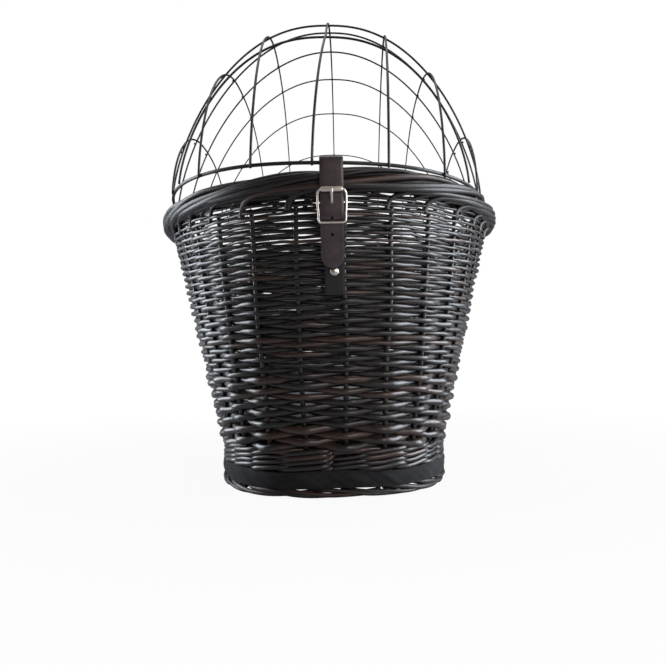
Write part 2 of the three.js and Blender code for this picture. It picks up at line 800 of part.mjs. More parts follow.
function makeBuckle() {
  const { rollerReach, middleReach, bottomReach } = closurePlaces();
  const frameReach = (z) => THREE.MathUtils.mapLinear(
    z,
    buckleBottomZ,
    buckleTopZ,
    bottomReach,
    rollerReach,
  );
  const half = buckleHalfWidth;
  const straight = rollerLength / 2 + clearance;
  const rightSide = [
    [half - 2.4, buckleBottomZ],
    [half - 0.8, buckleBottomZ + 0.6],
    [half - 0.1, buckleBottomZ + 2.2],
    [half, buckleMiddleZ],
    [half + 0.5, buckleMiddleZ + 8],
    [half + 0.4, buckleTopZ - 4],
    [half - 0.2, buckleTopZ - 1.6],
    [half - 0.9, buckleTopZ - 0.4],
    [straight, buckleTopZ],
  ];
  const leftSide = rightSide.map(([x, z]) => [-x, z]).reverse();
  const loop = [...rightSide, ...leftSide]
    .map(([x, z]) => new THREE.Vector3(closureX + x, -frameReach(z), z));
  const rise = new THREE.Vector3(0, bottomReach - rollerReach, buckleTopZ - buckleBottomZ);
  const facing = new THREE.Vector3(1, 0, 0).cross(rise).normalize();
  const frame = closedWire(loop, facing, buckleWire, 8);
  const sideReach = frameReach(buckleMiddleZ);
  const [leftTop, leftBack, rightBack, rightTop] = [
    [-half, sideReach],
    [-half + 0.6, middleReach],
    [half - 0.6, middleReach],
    [half, sideReach],
  ].map(([x, reach]) => new THREE.Vector3(closureX + x, -reach, buckleMiddleZ));
  const bars = [[leftTop, leftBack], [rightTop, rightBack], [leftBack, rightBack]]
    .map(([from, to]) => rodBetween(from, to, buckleWire, 0.4));
  addPiece(basket, "buckle_frame", join(frame, ...bars), "nickel");

  const rollerShape = roundShape(rollerDiameter / 2, 16);
  rollerShape.holes.push(new THREE.Path(
    roundShape(buckleWire / 2 + clearance, 12).getPoints(12).reverse(),
  ));
  const roller = acrossX(rollerShape, rollerLength, closureX, -1)
    .translate(0, -rollerReach, buckleTopZ);
  addPiece(basket, "buckle_roller", roller, "nickel");

  const prongPath = [
    [middleReach - 0.5, buckleMiddleZ + 2.2],
    [middleReach - 0.1, buckleMiddleZ + 4],
    [middleReach + 1.8, buckleMiddleZ + 6.8],
    [middleReach + 4.2, buckleMiddleZ + 9],
    [rollerReach - 0.6, buckleTopZ - 6.2],
    [rollerReach + rollerDiameter / 2 + clearance + prongWire / 2, buckleTopZ - 2.2],
    [rollerReach + rollerDiameter / 2 + clearance + prongWire / 2, buckleTopZ + 0.8],
  ];
  const arm = acrossX(bandShape(prongPath, prongWire, 16), prongWire, closureX, -1);
  const eyeHoleRadius = buckleWire / 2 + clearance;
  const eye = acrossX(roundShape(eyeHoleRadius + 0.9, 14), prongWire, closureX, -1)
    .translate(0, -middleReach, buckleMiddleZ);
  const eyeHole = acrossX(roundShape(eyeHoleRadius, 12), prongWire + 3, closureX, -1)
    .translate(0, -middleReach, buckleMiddleZ);
  addPiece(basket, "buckle_prong", cut(join(arm, eye), eyeHole), "nickel");
}

// A straight round rod between two points, lengthened a little past each.
function rodBetween(from, to, diameter, extra) {
  const along = to.clone().sub(from);
  const length = along.length() + 2 * extra;
  const middle = from.clone().add(to).multiplyScalar(0.5);
  const turn = new THREE.Quaternion().setFromUnitVectors(
    new THREE.Vector3(0, 1, 0),
    along.clone().normalize(),
  );
  return new THREE.CylinderGeometry(diameter / 2, diameter / 2, length, 8)
    .applyQuaternion(turn)
    .translate(middle.x, middle.y, middle.z);
}

function makeTab() {
  const { tabEyeRadius, middleReach, bottomStrap } = closurePlaces();
  const x = closureX + tabShift;
  const onWall = (z) => wallReach(z) + clearance + tabThickness / 2;
  const behindStrap = bottomStrap - strapThickness / 2 - clearance - tabThickness / 2;
  const path = [
    [onWall(tabBottomZ) + 0.1, tabBottomZ],
    [onWall(tabRivetZ) + 0.1, tabRivetZ],
    [onWall(tabRivetZ) + 2.4, tabRivetZ + 8],
    [behindStrap - 5.4, buckleBottomZ - 10],
    [behindStrap - 0.6, buckleBottomZ - 1],
    [middleReach - 0.8, buckleMiddleZ - 1.6],
  ];
  const band = acrossX(bandShape(path, tabThickness, 24), tabWidth, x, -1);
  const eye = acrossX(roundShape(tabEyeRadius, 16), tabWidth, x, -1)
    .translate(0, -middleReach, buckleMiddleZ);
  const eyeHole = acrossX(roundShape(buckleWire / 2 + clearance, 16), tabWidth + 2, x, -1)
    .translate(0, -middleReach, buckleMiddleZ);
  const slot = new THREE.BoxGeometry(prongSlotWidth, 12, 11)
    .translate(closureX, -middleReach, buckleMiddleZ + 1);
  const rivetHole = rodAlongY(rivetShank + 2 * clearance, 30, x, -onWall(tabRivetZ), tabRivetZ);
  addPiece(basket, "buckle_tab", cut(join(band, eye), eyeHole, slot, rivetHole), "leather");

  const outer = onWall(tabRivetZ + rivetHead / 2) + tabThickness / 2 + clearance;
  const inner = wallReach(tabRivetZ - rivetWasher / 2) - wallThickness - wallFacetDip - clearance;
  const rivet = rivetGeometry(outer, inner).rotateZ(Math.PI).translate(x, 0, tabRivetZ);
  addPiece(basket, "tab_rivet", rivet, "nickel");
}

// The two loops at the front end. Each is drawn as if the hood ring ran through the origin, is
// turned square to the ring, and is then carried out to it. The border's face is rimGap in
// front of the ring there.
function hingeLoops() {
  return [["left", -1], ["right", 1]].map(([side, sign]) => {
    const x = sign * hingeLoopX;
    const spot = hoodRingAt(x, 1);
    const across = Math.abs(x) / hoodRingHalfWidth;
    const fall = (across / otherShare(across)) ** (hoodRingSquareness - 1);
    const slope = (sign * fall * hoodRingHalfLength) / hoodRingHalfWidth;
    const turn = hoodAskew - Math.atan(slope);
    const rimY = rimHalfLength * Math.sqrt(1 - (spot.x / rimHalfWidth) ** 2);
    return { side, spot, turn, rimGap: (rimY - spot.y) * Math.cos(turn) };
  });
}

function carriedTo(geometry, { turn, spot }) {
  return geometry.rotateZ(turn).translate(spot.x, spot.y, 0);
}

function makeHingeLoops() {
  const thick = hingeLoopThickness / 2;
  hingeLoops().forEach((loop) => {
    const over = ringWire / 2 + hingeLoopPlay + thick;
    const outside = loop.rimGap + clearance + thick + hingeLoopSlack;
    const inside = loop.rimGap - borderDepth - clearance - thick - hingeLoopInnerSlack;
    const wall = loop.rimGap + wallReach(hingeRivetZ) - rimHalfLength;
    const outerWall = wall + clearance + thick + hingeLoopSlack;
    const innerWall = wall - wallThickness - clearance - thick - hingeLoopSlack;
    const path = [
      [outerWall - 0.8, hingeRivetZ - 7],
      [outerWall + 0.6, hingeRivetZ],
      [outerWall + 4.4, hingeRivetZ + 9],
      [outside - 2.4, borderCentreZ - 12.5],
      [outside, borderCentreZ - 2],
      [Math.max(outside - 0.4, over * 0.9), rimHeight - 1],
      [over * 0.8, loop.spot.z + over * 0.6],
      [0, loop.spot.z + over],
      [-over * 0.8, loop.spot.z + over * 0.6],
      [-9, rimHeight + 3.2],
      [inside + 5, rimHeight + 0.6],
      [inside + 0.4, rimHeight - 6],
      [inside, borderCentreZ - 2],
      [inside - 0.4, borderCentreZ - 13],
      [innerWall - 1.6, hingeRivetZ + 9],
      [innerWall - 1.6, hingeRivetZ],
      [innerWall - 2.8, hingeRivetZ - 7],
    ];
    const band = acrossX(bandShape(path, hingeLoopThickness, 44), hingeLoopWidth, 0, 1);
    const hole = rodAlongY(rivetShank + 2 * clearance, punchLength, 0, wall, hingeRivetZ);
    addPiece(basket, `hinge_loop_${loop.side}`, carriedTo(cut(band, hole), loop), "leather");

    const outer = outerWall + thick + clearance + 2;
    const inner = innerWall - thick - clearance - 2;
    const rivet = rivetGeometry(outer, inner).translate(0, 0, hingeRivetZ);
    addPiece(basket, `hinge_rivet_${loop.side}`, carriedTo(rivet, loop), "nickel");
  });
}

function makeClamps() {
  [["rear", -1], ["front", 1]].forEach(([end, sign]) => {
    const y = sign * clampY;
    const plateZ = wovenBaseTopZ + clearance + floorPlateThickness / 2;
    const plate = new THREE.BoxGeometry(floorPlateLength, floorPlateWidth, floorPlateThickness)
      .translate(0, y, plateZ);
    const plateHoles = boltHoles(wovenBaseTopZ, floorPlateTopZ);
    addPiece(basket, `floor_plate_${end}`, cut(plate, ...plateHoles), "steel");
    const barTopZ = waleBottomZ - clearance;
    const barZ = barTopZ - clampBarThickness / 2;
    const bar = new THREE.BoxGeometry(clampBarLength, clampBarWidth, clampBarThickness)
      .translate(0, y, barZ);
    const holes = boltHoles(barTopZ - clampBarThickness, barTopZ);
    addPiece(basket, `clamp_bar_${end}`, cut(bar, ...holes), "steel");
  });

  const headProfile = [
    [0, boltEndZ],
    [boltDiameter / 2 - 0.8, boltEndZ],
    [boltDiameter / 2, boltEndZ + 0.8],
    [boltDiameter / 2, floorPlateTopZ + clearance],
    [boltHeadDiameter / 2, floorPlateTopZ + clearance],
    [boltHeadDiameter * 0.4, floorPlateTopZ + clearance + boltHeadHeight * 0.7],
    [boltHeadDiameter * 0.2, floorPlateTopZ + clearance + boltHeadHeight * 0.95],
    [0, floorPlateTopZ + clearance + boltHeadHeight],
  ].map(([r, z]) => new THREE.Vector2(r, z));
  const nutTopZ = waleBottomZ - clearance - clampBarThickness - clearance;
  boltPlaces().forEach(({ name, x, y }) => {
    const bolt = new THREE.LatheGeometry(headProfile, roundSides)
      .rotateX(Math.PI / 2)
      .translate(x, y, 0);
    addPiece(basket, `clamp_bolt_${name}`, bolt, "steel");
    const boss = rodAlongZ(nutBossDiameter, nutTopZ - nutBossHeight, nutTopZ, x, y);
    const wings = new THREE.Shape();
    const reach = wingSpan / 2;
    wings.moveTo(-reach * 0.35, 0);
    wings.lineTo(-reach * 0.35, -nutBossHeight * 0.4);
    wings.lineTo(-reach, -wingHeight * 0.75);
    wings.quadraticCurveTo(-reach * 0.95, -wingHeight, -reach * 0.7, -wingHeight);
    wings.lineTo(-reach * 0.3, -nutBossHeight * 0.95);
    wings.lineTo(reach * 0.3, -nutBossHeight * 0.95);
    wings.lineTo(reach * 0.7, -wingHeight);
    wings.quadraticCurveTo(reach * 0.95, -wingHeight, reach, -wingHeight * 0.75);
    wings.lineTo(reach * 0.35, -nutBossHeight * 0.4);
    wings.lineTo(reach * 0.35, 0);
    const wingPlate = new THREE.ExtrudeGeometry(wings, {
      depth: wingThickness,
      bevelEnabled: false,
      curveSegments: 3,
    })
      .rotateX(Math.PI / 2)
      .translate(x, y + wingThickness / 2, nutTopZ);
    const bore = rodAlongZ(boltDiameter + 2 * clearance, nutTopZ - 2 * wingHeight, nutTopZ + 1, x, y);
    addPiece(basket, `wing_nut_${name}`, cut(join(boss, wingPlate), bore), "steel");
  });
}

makeFoot();
makeWall();
makeFloor();
makeHood();
makeClosureStrap();
makeBuckle();
makeTab();
makeHingeLoops();
makeClamps();

export default basket;
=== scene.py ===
"""A wicker dog basket with a wire hood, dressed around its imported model. All lengths are metres.

The basket's long axis is Y, with the closure strap at the rear end, at -Y. Round the oval, a
place is a share from 0 to 1, which starts at the rear middle and runs towards +X first.
"""

import math
from types import SimpleNamespace

import bmesh
import bpy
import numpy as np
from mathutils import Matrix, Vector


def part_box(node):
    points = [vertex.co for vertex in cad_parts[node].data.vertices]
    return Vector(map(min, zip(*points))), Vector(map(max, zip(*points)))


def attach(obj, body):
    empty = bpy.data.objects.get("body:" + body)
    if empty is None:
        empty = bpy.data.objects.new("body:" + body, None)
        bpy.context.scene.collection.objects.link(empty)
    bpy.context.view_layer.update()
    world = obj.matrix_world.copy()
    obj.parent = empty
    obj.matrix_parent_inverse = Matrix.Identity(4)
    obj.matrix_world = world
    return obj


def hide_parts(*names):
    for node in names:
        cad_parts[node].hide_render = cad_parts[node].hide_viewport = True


MM = 0.001
WHITE = (1, 1, 1, 1)

# Camera, from the photograph's perspective.
IMAGE_SIDE = 665
FOCAL_PIXELS = 757
SENSOR_WIDTH = 36
CAMERA_PLACE = (0.0, -0.875, 0.129)
CAMERA_ROLL = math.radians(1.05)
AXIS_PIXEL = (332, 350)

# The floor fades into the white backdrop between the two distances. For camera rays alone it
# is already whitened by this share where the fade starts.
FLOOR_REACH = 6.0
FLOOR_COLOUR = (0.40, 0.40, 0.41, 1)
FLOOR_FADE = (0.30, 0.80)
FLOOR_WHITENED = 0.94
WORLD_COLOUR = (0.92, 0.94, 1.0, 1)
WORLD_STRENGTH = 0.09

# Each lamp's name, place, target, size, power in watts and colour.
COOL = (0.86, 0.92, 1.0)
WARM = (1.0, 0.93, 0.88)
LAMPS = (
    ("left_box", (-1.30, 0.40, 0.50), (0, 0, 0.15), (0.8, 1.3), 22, COOL),
    ("right_box", (1.40, -0.05, 0.55), (0, 0, 0.15), (1.1, 1.3), 38, COOL),
    ("top_box", (0, 0.3, 1.7), (0, 0, 0.2), (1.4, 1.4), 8, (1, 1, 1)),
    ("front_box", (0.95, -1.9, 0.9), (0, 0, 0.15), (0.9, 0.9), 13, WARM),
)

# The oval wall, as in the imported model.
RIM_HALF = (0.183, 0.275)
WALL_SETBACK = 0.010
BASE_HALF = (0.1155, 0.218)
BASE_SQUARENESS = 2.85
RIM_SQUARENESS = 2.0
FLARE_START = 0.037
WALL_THICKNESS = 0.012
MEAN_WALL_RADIUS = 0.2

# Stakes.
STAKES = 32
STAKE_SHIFT = 0.3
STAKE_DIAMETER = 4.4 * MM
STAKE_POINTS = 40

# Rows of the weave. A row's share is its rod's thickness over its pitch.
LOW_PITCH = 5.3 * MM
HIGH_PITCH = 2.65 * MM
LOW_ROD_SHARE = 1.34
HIGH_ROD_SHARE = 1.02
LOW_ROD_LEAN = 0.34
HIGH_ROD_LEAN = 0.04
OPEN_REACH = 1.7
ROD_STEP = 5 * MM
ROWS_IN_RIM = 9 * MM
WAVE_FULLNESS = 0.985
THICKNESS_SPREAD = 0.10
THICKNESS_RANGE = (0.86, 1.12)
ROD_TAPER = 0.12
OUTSIDE_SWELL = 0.08
PRESSED_ON_STAKE = 0.6 * MM
ROW_SWAY = 0.25 * MM
ROW_RISE_SWAY = 0.12

# The bottom wale.
WALE_ROWS = 4
WALE_STRANDS = 3
WALE_POINTS_A_STAKE = 10
WALE_ROD_RADIUS = 2.2 * MM
WALE_DEPTH = 4.94 * MM
WALE_SWING = 4.4 * MM
WALE_SHARPNESS = 1.6
WALE_RISE = 1.6 * MM

# The foot skirt.
SKIRT_ROWS = 2
SKIRT_FIRST_DROP = 2.4 * MM
SKIRT_ROW_DROP = 4.7 * MM
SKIRT_PITCH = 4.2 * MM
SKIRT_LEAN = 0.1
SKIRT_SET_IN = 1.6 * MM

# One rod of the rim border: how many stakes on, how far in from the border's outside in mm, and
# how high in the border, from its foot at 0 to its top at 1.
RIM_ROD_COURSE = (
    (-0.12, 15.0, -0.30),
    (-0.04, 13.6, 0.10),
    (0.24, 9.0, 0.33),
    (0.9, 4.6, 0.40),
    (1.9, 3.0, 0.47),
    (2.9, 2.9, 0.64),
    (3.8, 3.4, 0.82),
    (4.6, 6.0, 0.94),
    (5.4, 11.0, 0.95),
    (6.2, 16.0, 0.84),
    (6.8, 19.0, 0.60),
)
RIM_ROD = 5.3 * MM
RIM_LOOSE = 0.14

# Each layer's shift in stakes, its thickness share and how far it is set in.
RIM_LAYERS = ((0.0, 1.0, 0.0), (0.5, 0.72, 4.2 * MM))

# Rods inside the border: how far out from its middle line, and how high in it.
RIM_CORES = ((-2.0 * MM, 0.70), (2.0 * MM, 0.42), (-5.0 * MM, 0.36))
RIM_CORE_RADIUS = 4.4 * MM
RIM_CORE_POINTS = 160

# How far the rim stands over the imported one: everywhere, and besides at its rear right, round
# the share and over the width in shares given.
RIM_RAISED = 1.0 * MM
RIM_RAISED_RIGHT = 5.4 * MM
RIM_RAISED_PLACE = 0.055
RIM_RAISED_SPREAD = 0.07

# The same course for the foot border. Its rods come down from the skirt.
FOOT_ROD_COURSE = (
    (-0.06, 9.0, 1.9),
    (0.0, 8.5, 1.3),
    (0.3, 5.0, 0.95),
    (0.9, 2.8, 0.55),
    (1.6, 2.4, 0.12),
    (2.3, 3.4, 0.12),
    (2.9, 6.0, 0.40),
    (3.4, 8.5, 0.80),
)
FOOT_ROD = 4.4 * MM
FOOT_LOOSE = 0.15
FOOT_LAYERS = ((0.0, 1.0, 0.0),)
FOOT_HALF_DEPTH = 6 * MM
FOOT_MARGIN = 0.3 * MM

# The woven base.
BASE_STICK_PITCH = 0.034
BASE_STICK_RADIUS = 1.9 * MM
BASE_ROD_PITCH = 4.4 * MM
BASE_ROD_RADIUS = 1.95 * MM
BASE_ROD_POINTS = 90
BASE_EDGE_GAP = 1 * MM
BASE_END_GAP = 2 * MM

# The hood's wires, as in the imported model, and their thickness at the rear and the front.
HOOD_ASKEW = math.radians(-1.6)
HOOD_TILT = math.radians(1.2)
HOOD_RING_HALF = (0.163, 0.272)
HOOD_RING_SQUARENESS = 2.4
HOOD_HEIGHT = 0.1946
HOOD_CROWN = 1.97
HOOD_SHOULDER = 1.56
HOOD_FORWARD_DROP = 0.066
RING_LIFT = 0.0058
RING_WIRE = 3.0 * MM
HOOD_WIRE = 2.1 * MM
REAR_WIRE = 2.3 * MM
FRONT_WIRE = 1.2 * MM
ARCH_SPACING = 0.062
ARCH_PAIRS = 3
REAR_BARS = (-0.143, -0.104, -0.057, 0.002, 0.057, 0.104, 0.143)
FRONT_BARS = (-0.143, -0.098, -0.0625, 0.0, 0.0625, 0.098, 0.143)
MIDDLE_BAR = 3
MIDDLE_BAR_FOOT_SHIFT = -0.008
ARCH_STANDOFF = 0.5 * MM
BAR_STANDOFF = 2.4 * MM
BAR_FOOT = 2.6 * MM
BAR_END_TRIES = 40
CURVE_POINTS = 121
RING_POINTS = 240
ARCH_POINTS = 110
BAR_POINTS = 130

# Welds: no weld stands nearer to the ring than the share, and radii are shares of the wire.
WELD_LIMIT = 0.985
WELD_RADII = (0.35, 0.52, 0.5, 0.52, 0.35)
FOOT_WELD_LENGTH = 3.0 * MM
FOOT_WELD_RADIUS = 1.2 * MM

# The closure strap and its buckle. Drops are measured down from the rim's top.
CLOSURE_X = 0.002
STRAP_WIDTH = 0.019
STRAP_THICKNESS = 2.0 * MM
STRAP_POINTS = 150
STRAP_TIP_LENGTH = 1.25
STRAP_TIP_ROUNDNESS = 2.2
STITCH_INSET = 2.7 * MM
STITCH_PITCH = 1.75 * MM
STITCH_RADIUS = 0.42 * MM
STITCH_SUNK = 0.15 * MM
STITCH_START = 0.016
HOLE = 2.4 * MM
HOLE_PITCH = 12.2 * MM
PRONG_HOLE = (3.0 * MM, 5.4 * MM)
PRONG_HOLE_RISE = 8.6 * MM
RING_EYE_SLACK = 1.3 * MM
RING_EYE_SET_IN = 0.4 * MM
BUCKLE_WIRE = 1.9 * MM
BUCKLE_HALF = 10.8 * MM
BUCKLE_TOP_DROP = 17 * MM
BUCKLE_MIDDLE_DROP = 35.5 * MM
BUCKLE_BOTTOM_DROP = 42.5 * MM
BUCKLE_BOTTOM_SET_IN = 3.6 * MM
ROLLER_RADIUS = 2.1 * MM
PRONG_WIRE = 1.8 * MM
PRONG_FULLNESS = 1.15
TAB_WIDTH = 0.016
TAB_THICKNESS = 3.2 * MM
TAB_SHIFT = 1.2 * MM
TAB_EYE_WALL = 1.0 * MM
TAB_SLOT = (3.4 * MM, 8 * MM)
TAB_RIVET_DROP = 79.5 * MM
TAB_END_DROP = 97.5 * MM
RIVET_HEAD = 7.4 * MM
RIVET_DOME = 2.3 * MM
RIVET_SEAT = 2.2 * MM
GAP = 0.3 * MM

# A leather strip's section: places across it, and how full its rounded edge is at each.
STRIP_ACROSS = np.array([-1, -0.985, -0.93, -0.8, -0.5, 0, 0.5, 0.8, 0.93, 0.985, 1])
STRIP_FULL = np.array([0, 0.55, 0.85, 0.97, 1, 1, 1, 0.97, 0.85, 0.55, 0])
STRIP_EDGE = 0.55 * MM
STRIP_ANGLE = 50

# The base band.
BAND_POINTS = 420
BAND_ROWS = 9
BAND_BULGE = 2.2 * MM
BAND_BACK = 1.1 * MM

# The floor cushion before it swells: each layer's share of the outline and its height. The
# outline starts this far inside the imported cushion, which leaves room to swell.
CUSHION_POINTS = 96
CUSHION_START = 5 * MM
CUSHION_TOP_GAP = 9 * MM
CUSHION_VOXEL = 6 * MM
CUSHION_SWELL = 9 * MM
CLOTH_FRAMES = 20
PIPING_RADIUS = 1.7 * MM
PIPING_OUT = 4.4 * MM
PIPING_DROP = 12 * MM

rng = np.random.default_rng(7)

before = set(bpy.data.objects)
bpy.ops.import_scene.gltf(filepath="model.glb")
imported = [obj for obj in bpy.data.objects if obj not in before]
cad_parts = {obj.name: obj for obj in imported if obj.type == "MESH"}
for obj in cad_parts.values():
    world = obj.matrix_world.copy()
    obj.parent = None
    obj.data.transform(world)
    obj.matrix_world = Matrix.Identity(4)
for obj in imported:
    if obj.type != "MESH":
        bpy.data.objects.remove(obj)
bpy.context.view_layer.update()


# Geometry helpers


def unit(vectors):
    return vectors / np.maximum(np.linalg.norm(vectors, axis=-1, keepdims=True), 1e-12)


def quads(rows, count, first=0, closed=False):
    """Faces between rings of points, and from the last ring to the first if closed."""
    faces = []
    for i in range(rows if closed else rows - 1):
        low, high = first + i * count, first + (i + 1) % rows * count
        for j in range(count):
            k = (j + 1) % count
            faces.append((low + j, low + k, high + k, high + j))
    return faces


class Rods:
    """Collects round rods into one mesh, with a length-wise grain map and a colour value at each
    point. It holds each rod's own colour, and on the woven rows and the wale also warmer stretches
    that are painted reddish reflection.
    """

    CAP_RISE = 0.3
    CAP_GRAIN = ((0, 0), (0, 0.1), (0.002, 0.05))

    def __init__(self):
        self.verts = []
        self.faces = []
        self.grain = []
        self.tones_and_reflections = []
        self.count = 0

    def add(self, points, radii, closed=False, sides=8, up=(0, 0, 1), tone=0.5, flatten=1.0):
        points = np.asarray(points, float)
        count = len(points)
        radii = np.broadcast_to(np.asarray(radii, float), (count,))
        tone = np.broadcast_to(np.asarray(tone, float), (count,))
        if closed:
            along = np.roll(points, -1, 0) - np.roll(points, 1, 0)
        else:
            along = np.gradient(points, axis=0)
        along = unit(along)
        up = np.broadcast_to(np.asarray(up, float), (count, 3))
        high = unit(up - (up * along).sum(1)[:, None] * along)
        wide = np.cross(high, along)
        turn = 2 * np.pi * np.arange(sides) / sides
        cosine, sine = np.cos(turn)[None, :, None], np.sin(turn)[None, :, None]
        section = wide[:, None] * cosine + high[:, None] * sine * flatten
        ring = points[:, None] + section * radii[:, None, None]
        first = self.count
        self._keep(ring.reshape(-1, 3), np.repeat(tone, sides))
        self.faces.extend(quads(count, sides, first, closed))
        steps = np.linalg.norm(np.roll(points, -1, 0) - points, axis=1)
        travel = np.concatenate([[0], np.cumsum(steps)]) + rng.random()
        for i in range(count if closed else count - 1):
            start, end = travel[i], travel[i + 1]
            for j in range(sides):
                left, right = j / sides, (j + 1) / sides
                self.grain.extend(((start, left), (start, right), (end, right), (end, left)))
        if not closed:
            rise = along * radii[:, None] * self.CAP_RISE
            last = first + (count - 1) * sides
            self._cap(points[0] - rise[0], first, sides, True, tone[0])
            self._cap(points[-1] + rise[-1], last, sides, False, tone[-1])

    def _keep(self, verts, tones_and_reflections):
        self.verts.append(verts)
        self.tones_and_reflections.append(tones_and_reflections)
        self.count += len(verts)

    def _cap(self, middle, first, sides, backwards, tone):
        centre = self.count
        self._keep(np.array([middle]), np.array([tone]))
        for j in range(sides):
            k = (j + 1) % sides
            pair = (first + k, first + j) if backwards else (first + j, first + k)
            self.faces.append((*pair, centre))
            self.grain.extend(self.CAP_GRAIN)

    def build(self, name):
        mesh = bpy.data.meshes.new(name)
        mesh.from_pydata(np.concatenate(self.verts).tolist(), [], self.faces)
        mesh.polygons.foreach_set("use_smooth", [True] * len(mesh.polygons))
        layer = mesh.uv_layers.new(name="grain")
        layer.data.foreach_set("uv", np.asarray(self.grain, np.float32).ravel())
        tones_and_reflections = mesh.attributes.new("tone", "FLOAT", "POINT")
        tones_and_reflections.data.foreach_set("value", np.concatenate(self.tones_and_reflections).astype(np.float32))
        return linked(name, mesh)


def linked(name, data):
    made = bpy.data.objects.new(name, data)
    bpy.context.scene.collection.objects.link(made)
    return made


def dress(piece, material, body, slot, *nodes):
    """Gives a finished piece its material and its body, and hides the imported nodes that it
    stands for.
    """
    piece.data.materials.clear()
    piece.data.materials.append(material)
    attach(piece, body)
    if nodes:
        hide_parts(*nodes)


def travelled(points):
    """How far along a line of points each one lies."""
    steps = np.linalg.norm(np.diff(points, axis=0), axis=1)
    return np.concatenate([[0], np.cumsum(steps)])


def even(points, count):
    travel = travelled(points)
    wanted = np.linspace(0, travel[-1], count)
    return np.stack([np.interp(wanted, travel, column) for column in points.T], 1)


def spline(points, count):
    """A smooth curve of evenly spaced points through the given ones."""
    points = np.asarray(points, float)
    padded = np.vstack([2 * points[0] - points[1], points, 2 * points[-1] - points[-2]])
    fine = []
    for i in range(1, len(padded) - 2):
        a, b, c, d = padded[i - 1], padded[i], padded[i + 1], padded[i + 2]
        for t in np.linspace(0, 1, 24, endpoint=False):
            fine.append(0.5 * (2 * b + (c - a) * t + (2 * a - 5 * b + 4 * c - d) * t * t
                               + (3 * b - a - 3 * c + d) * t ** 3))
    fine.append(points[-1])
    return even(np.array(fine), count)


def wobble(count, waves, size, closed=True):
    """Smooth noise along a rod, from a few sine waves."""
    place = np.linspace(0, 2 * np.pi, count, endpoint=not closed)
    total = np.zeros(count)
    for wave in waves:
        total += rng.normal() * np.sin(wave * place + rng.random() * 2 * np.pi)
    return total * size / math.sqrt(len(waves))


def fold_noise(share, waves, seed):
    """Smooth noise round the oval, which stays the same for the same seed."""
    local = np.random.default_rng(seed)
    total = np.zeros(len(share))
    for wave in waves:
        total += local.normal() * np.sin(2 * np.pi * (wave * share + local.random()))
    return total / math.sqrt(len(waves))


def squared_round(turn, half_width, half_length, squareness):
    """Places on an oval between an ellipse and a rectangle, at angles round it."""
    cosine, sine = np.cos(turn), np.sin(turn)
    power = 2 / squareness
    x = np.sign(cosine) * half_width * np.abs(cosine) ** power
    y = np.sign(sine) * half_length * np.abs(sine) ** power
    return x, y


def oval_table(half_width, half_length, squareness, samples):
    """Evenly spaced places round an oval, each with its outward direction."""
    turn = np.linspace(-np.pi / 2, 1.5 * np.pi, 8193)
    x, y = squared_round(turn, half_width, half_length, squareness)
    travel = np.concatenate([[0], np.cumsum(np.hypot(np.diff(x), np.diff(y)))])
    wanted = np.linspace(0, travel[-1], samples, endpoint=False)
    x, y = np.interp(wanted, travel, x), np.interp(wanted, travel, y)
    along_x = np.roll(x, -2) - np.roll(x, 2)
    along_y = np.roll(y, -2) - np.roll(y, 2)
    out = unit(np.column_stack([along_y, -along_x]))
    return np.column_stack([x, y, out])


def along_oval(half_width, half_length, squareness):
    """Gives places and outward directions round an oval at any share."""
    table = oval_table(half_width, half_length, squareness, 2048)

    def centre(share):
        spot = np.asarray(share) % 1 * len(table)
        found = table[spot.astype(int) % len(table)]
        following = table[(spot.astype(int) + 1) % len(table)]
        part = (spot % 1)[:, None]
        found = found * (1 - part) + following * part
        return found[:, :2], unit(found[:, 2:])
    return centre


class Wall:
    """The oval wall's outside: its place and its outward direction at any share and height."""

    SAMPLES = 1024
    HEIGHTS = np.linspace(-0.02, 0.29, 40)

    def __init__(self):
        levels = [oval_table(*self.half_sizes(z), self.SAMPLES) for z in self.HEIGHTS]
        self.table = np.array(levels)

    @staticmethod
    def half_sizes(z):
        """Half the width, half the length and the squareness at a height."""
        along = min(max((z - FLARE_START) / (wall_top - FLARE_START), 0), 1)
        half_width = BASE_HALF[0] + (RIM_HALF[0] - WALL_SETBACK - BASE_HALF[0]) * along
        half_length = BASE_HALF[1] + (RIM_HALF[1] - WALL_SETBACK - BASE_HALF[1]) * along
        squareness = BASE_SQUARENESS + (RIM_SQUARENESS - BASE_SQUARENESS) * along
        return half_width, half_length, squareness

    def at(self, share, z, depth=0.0):
        """Points at the given shares and heights, set in from the outside by the depth."""
        place, out = self.place_and_out(share, z)
        points = place - out * np.broadcast_to(depth, np.shape(share))[:, None]
        return np.column_stack([points, np.broadcast_to(z, np.shape(share))])

    def place_and_out(self, share, z):
        share = np.asarray(share, float) % 1
        z = np.broadcast_to(z, share.shape)
        level = (z - self.HEIGHTS[0]) / (self.HEIGHTS[1] - self.HEIGHTS[0])
        low = np.clip(level.astype(int), 0, len(self.HEIGHTS) - 2)
        rise = np.clip(level - low, 0, 1)[:, None]
        spot = share * self.SAMPLES
        left = spot.astype(int) % self.SAMPLES
        right = (left + 1) % self.SAMPLES
        part = (spot - np.floor(spot))[:, None]
        rows = []
        for row in (low, low + 1):
            rows.append(self.table[row, left] * (1 - part) + self.table[row, right] * part)
        found = rows[0] * (1 - rise) + rows[1] * rise
        return found[:, :2], unit(found[:, 2:])


# Materials


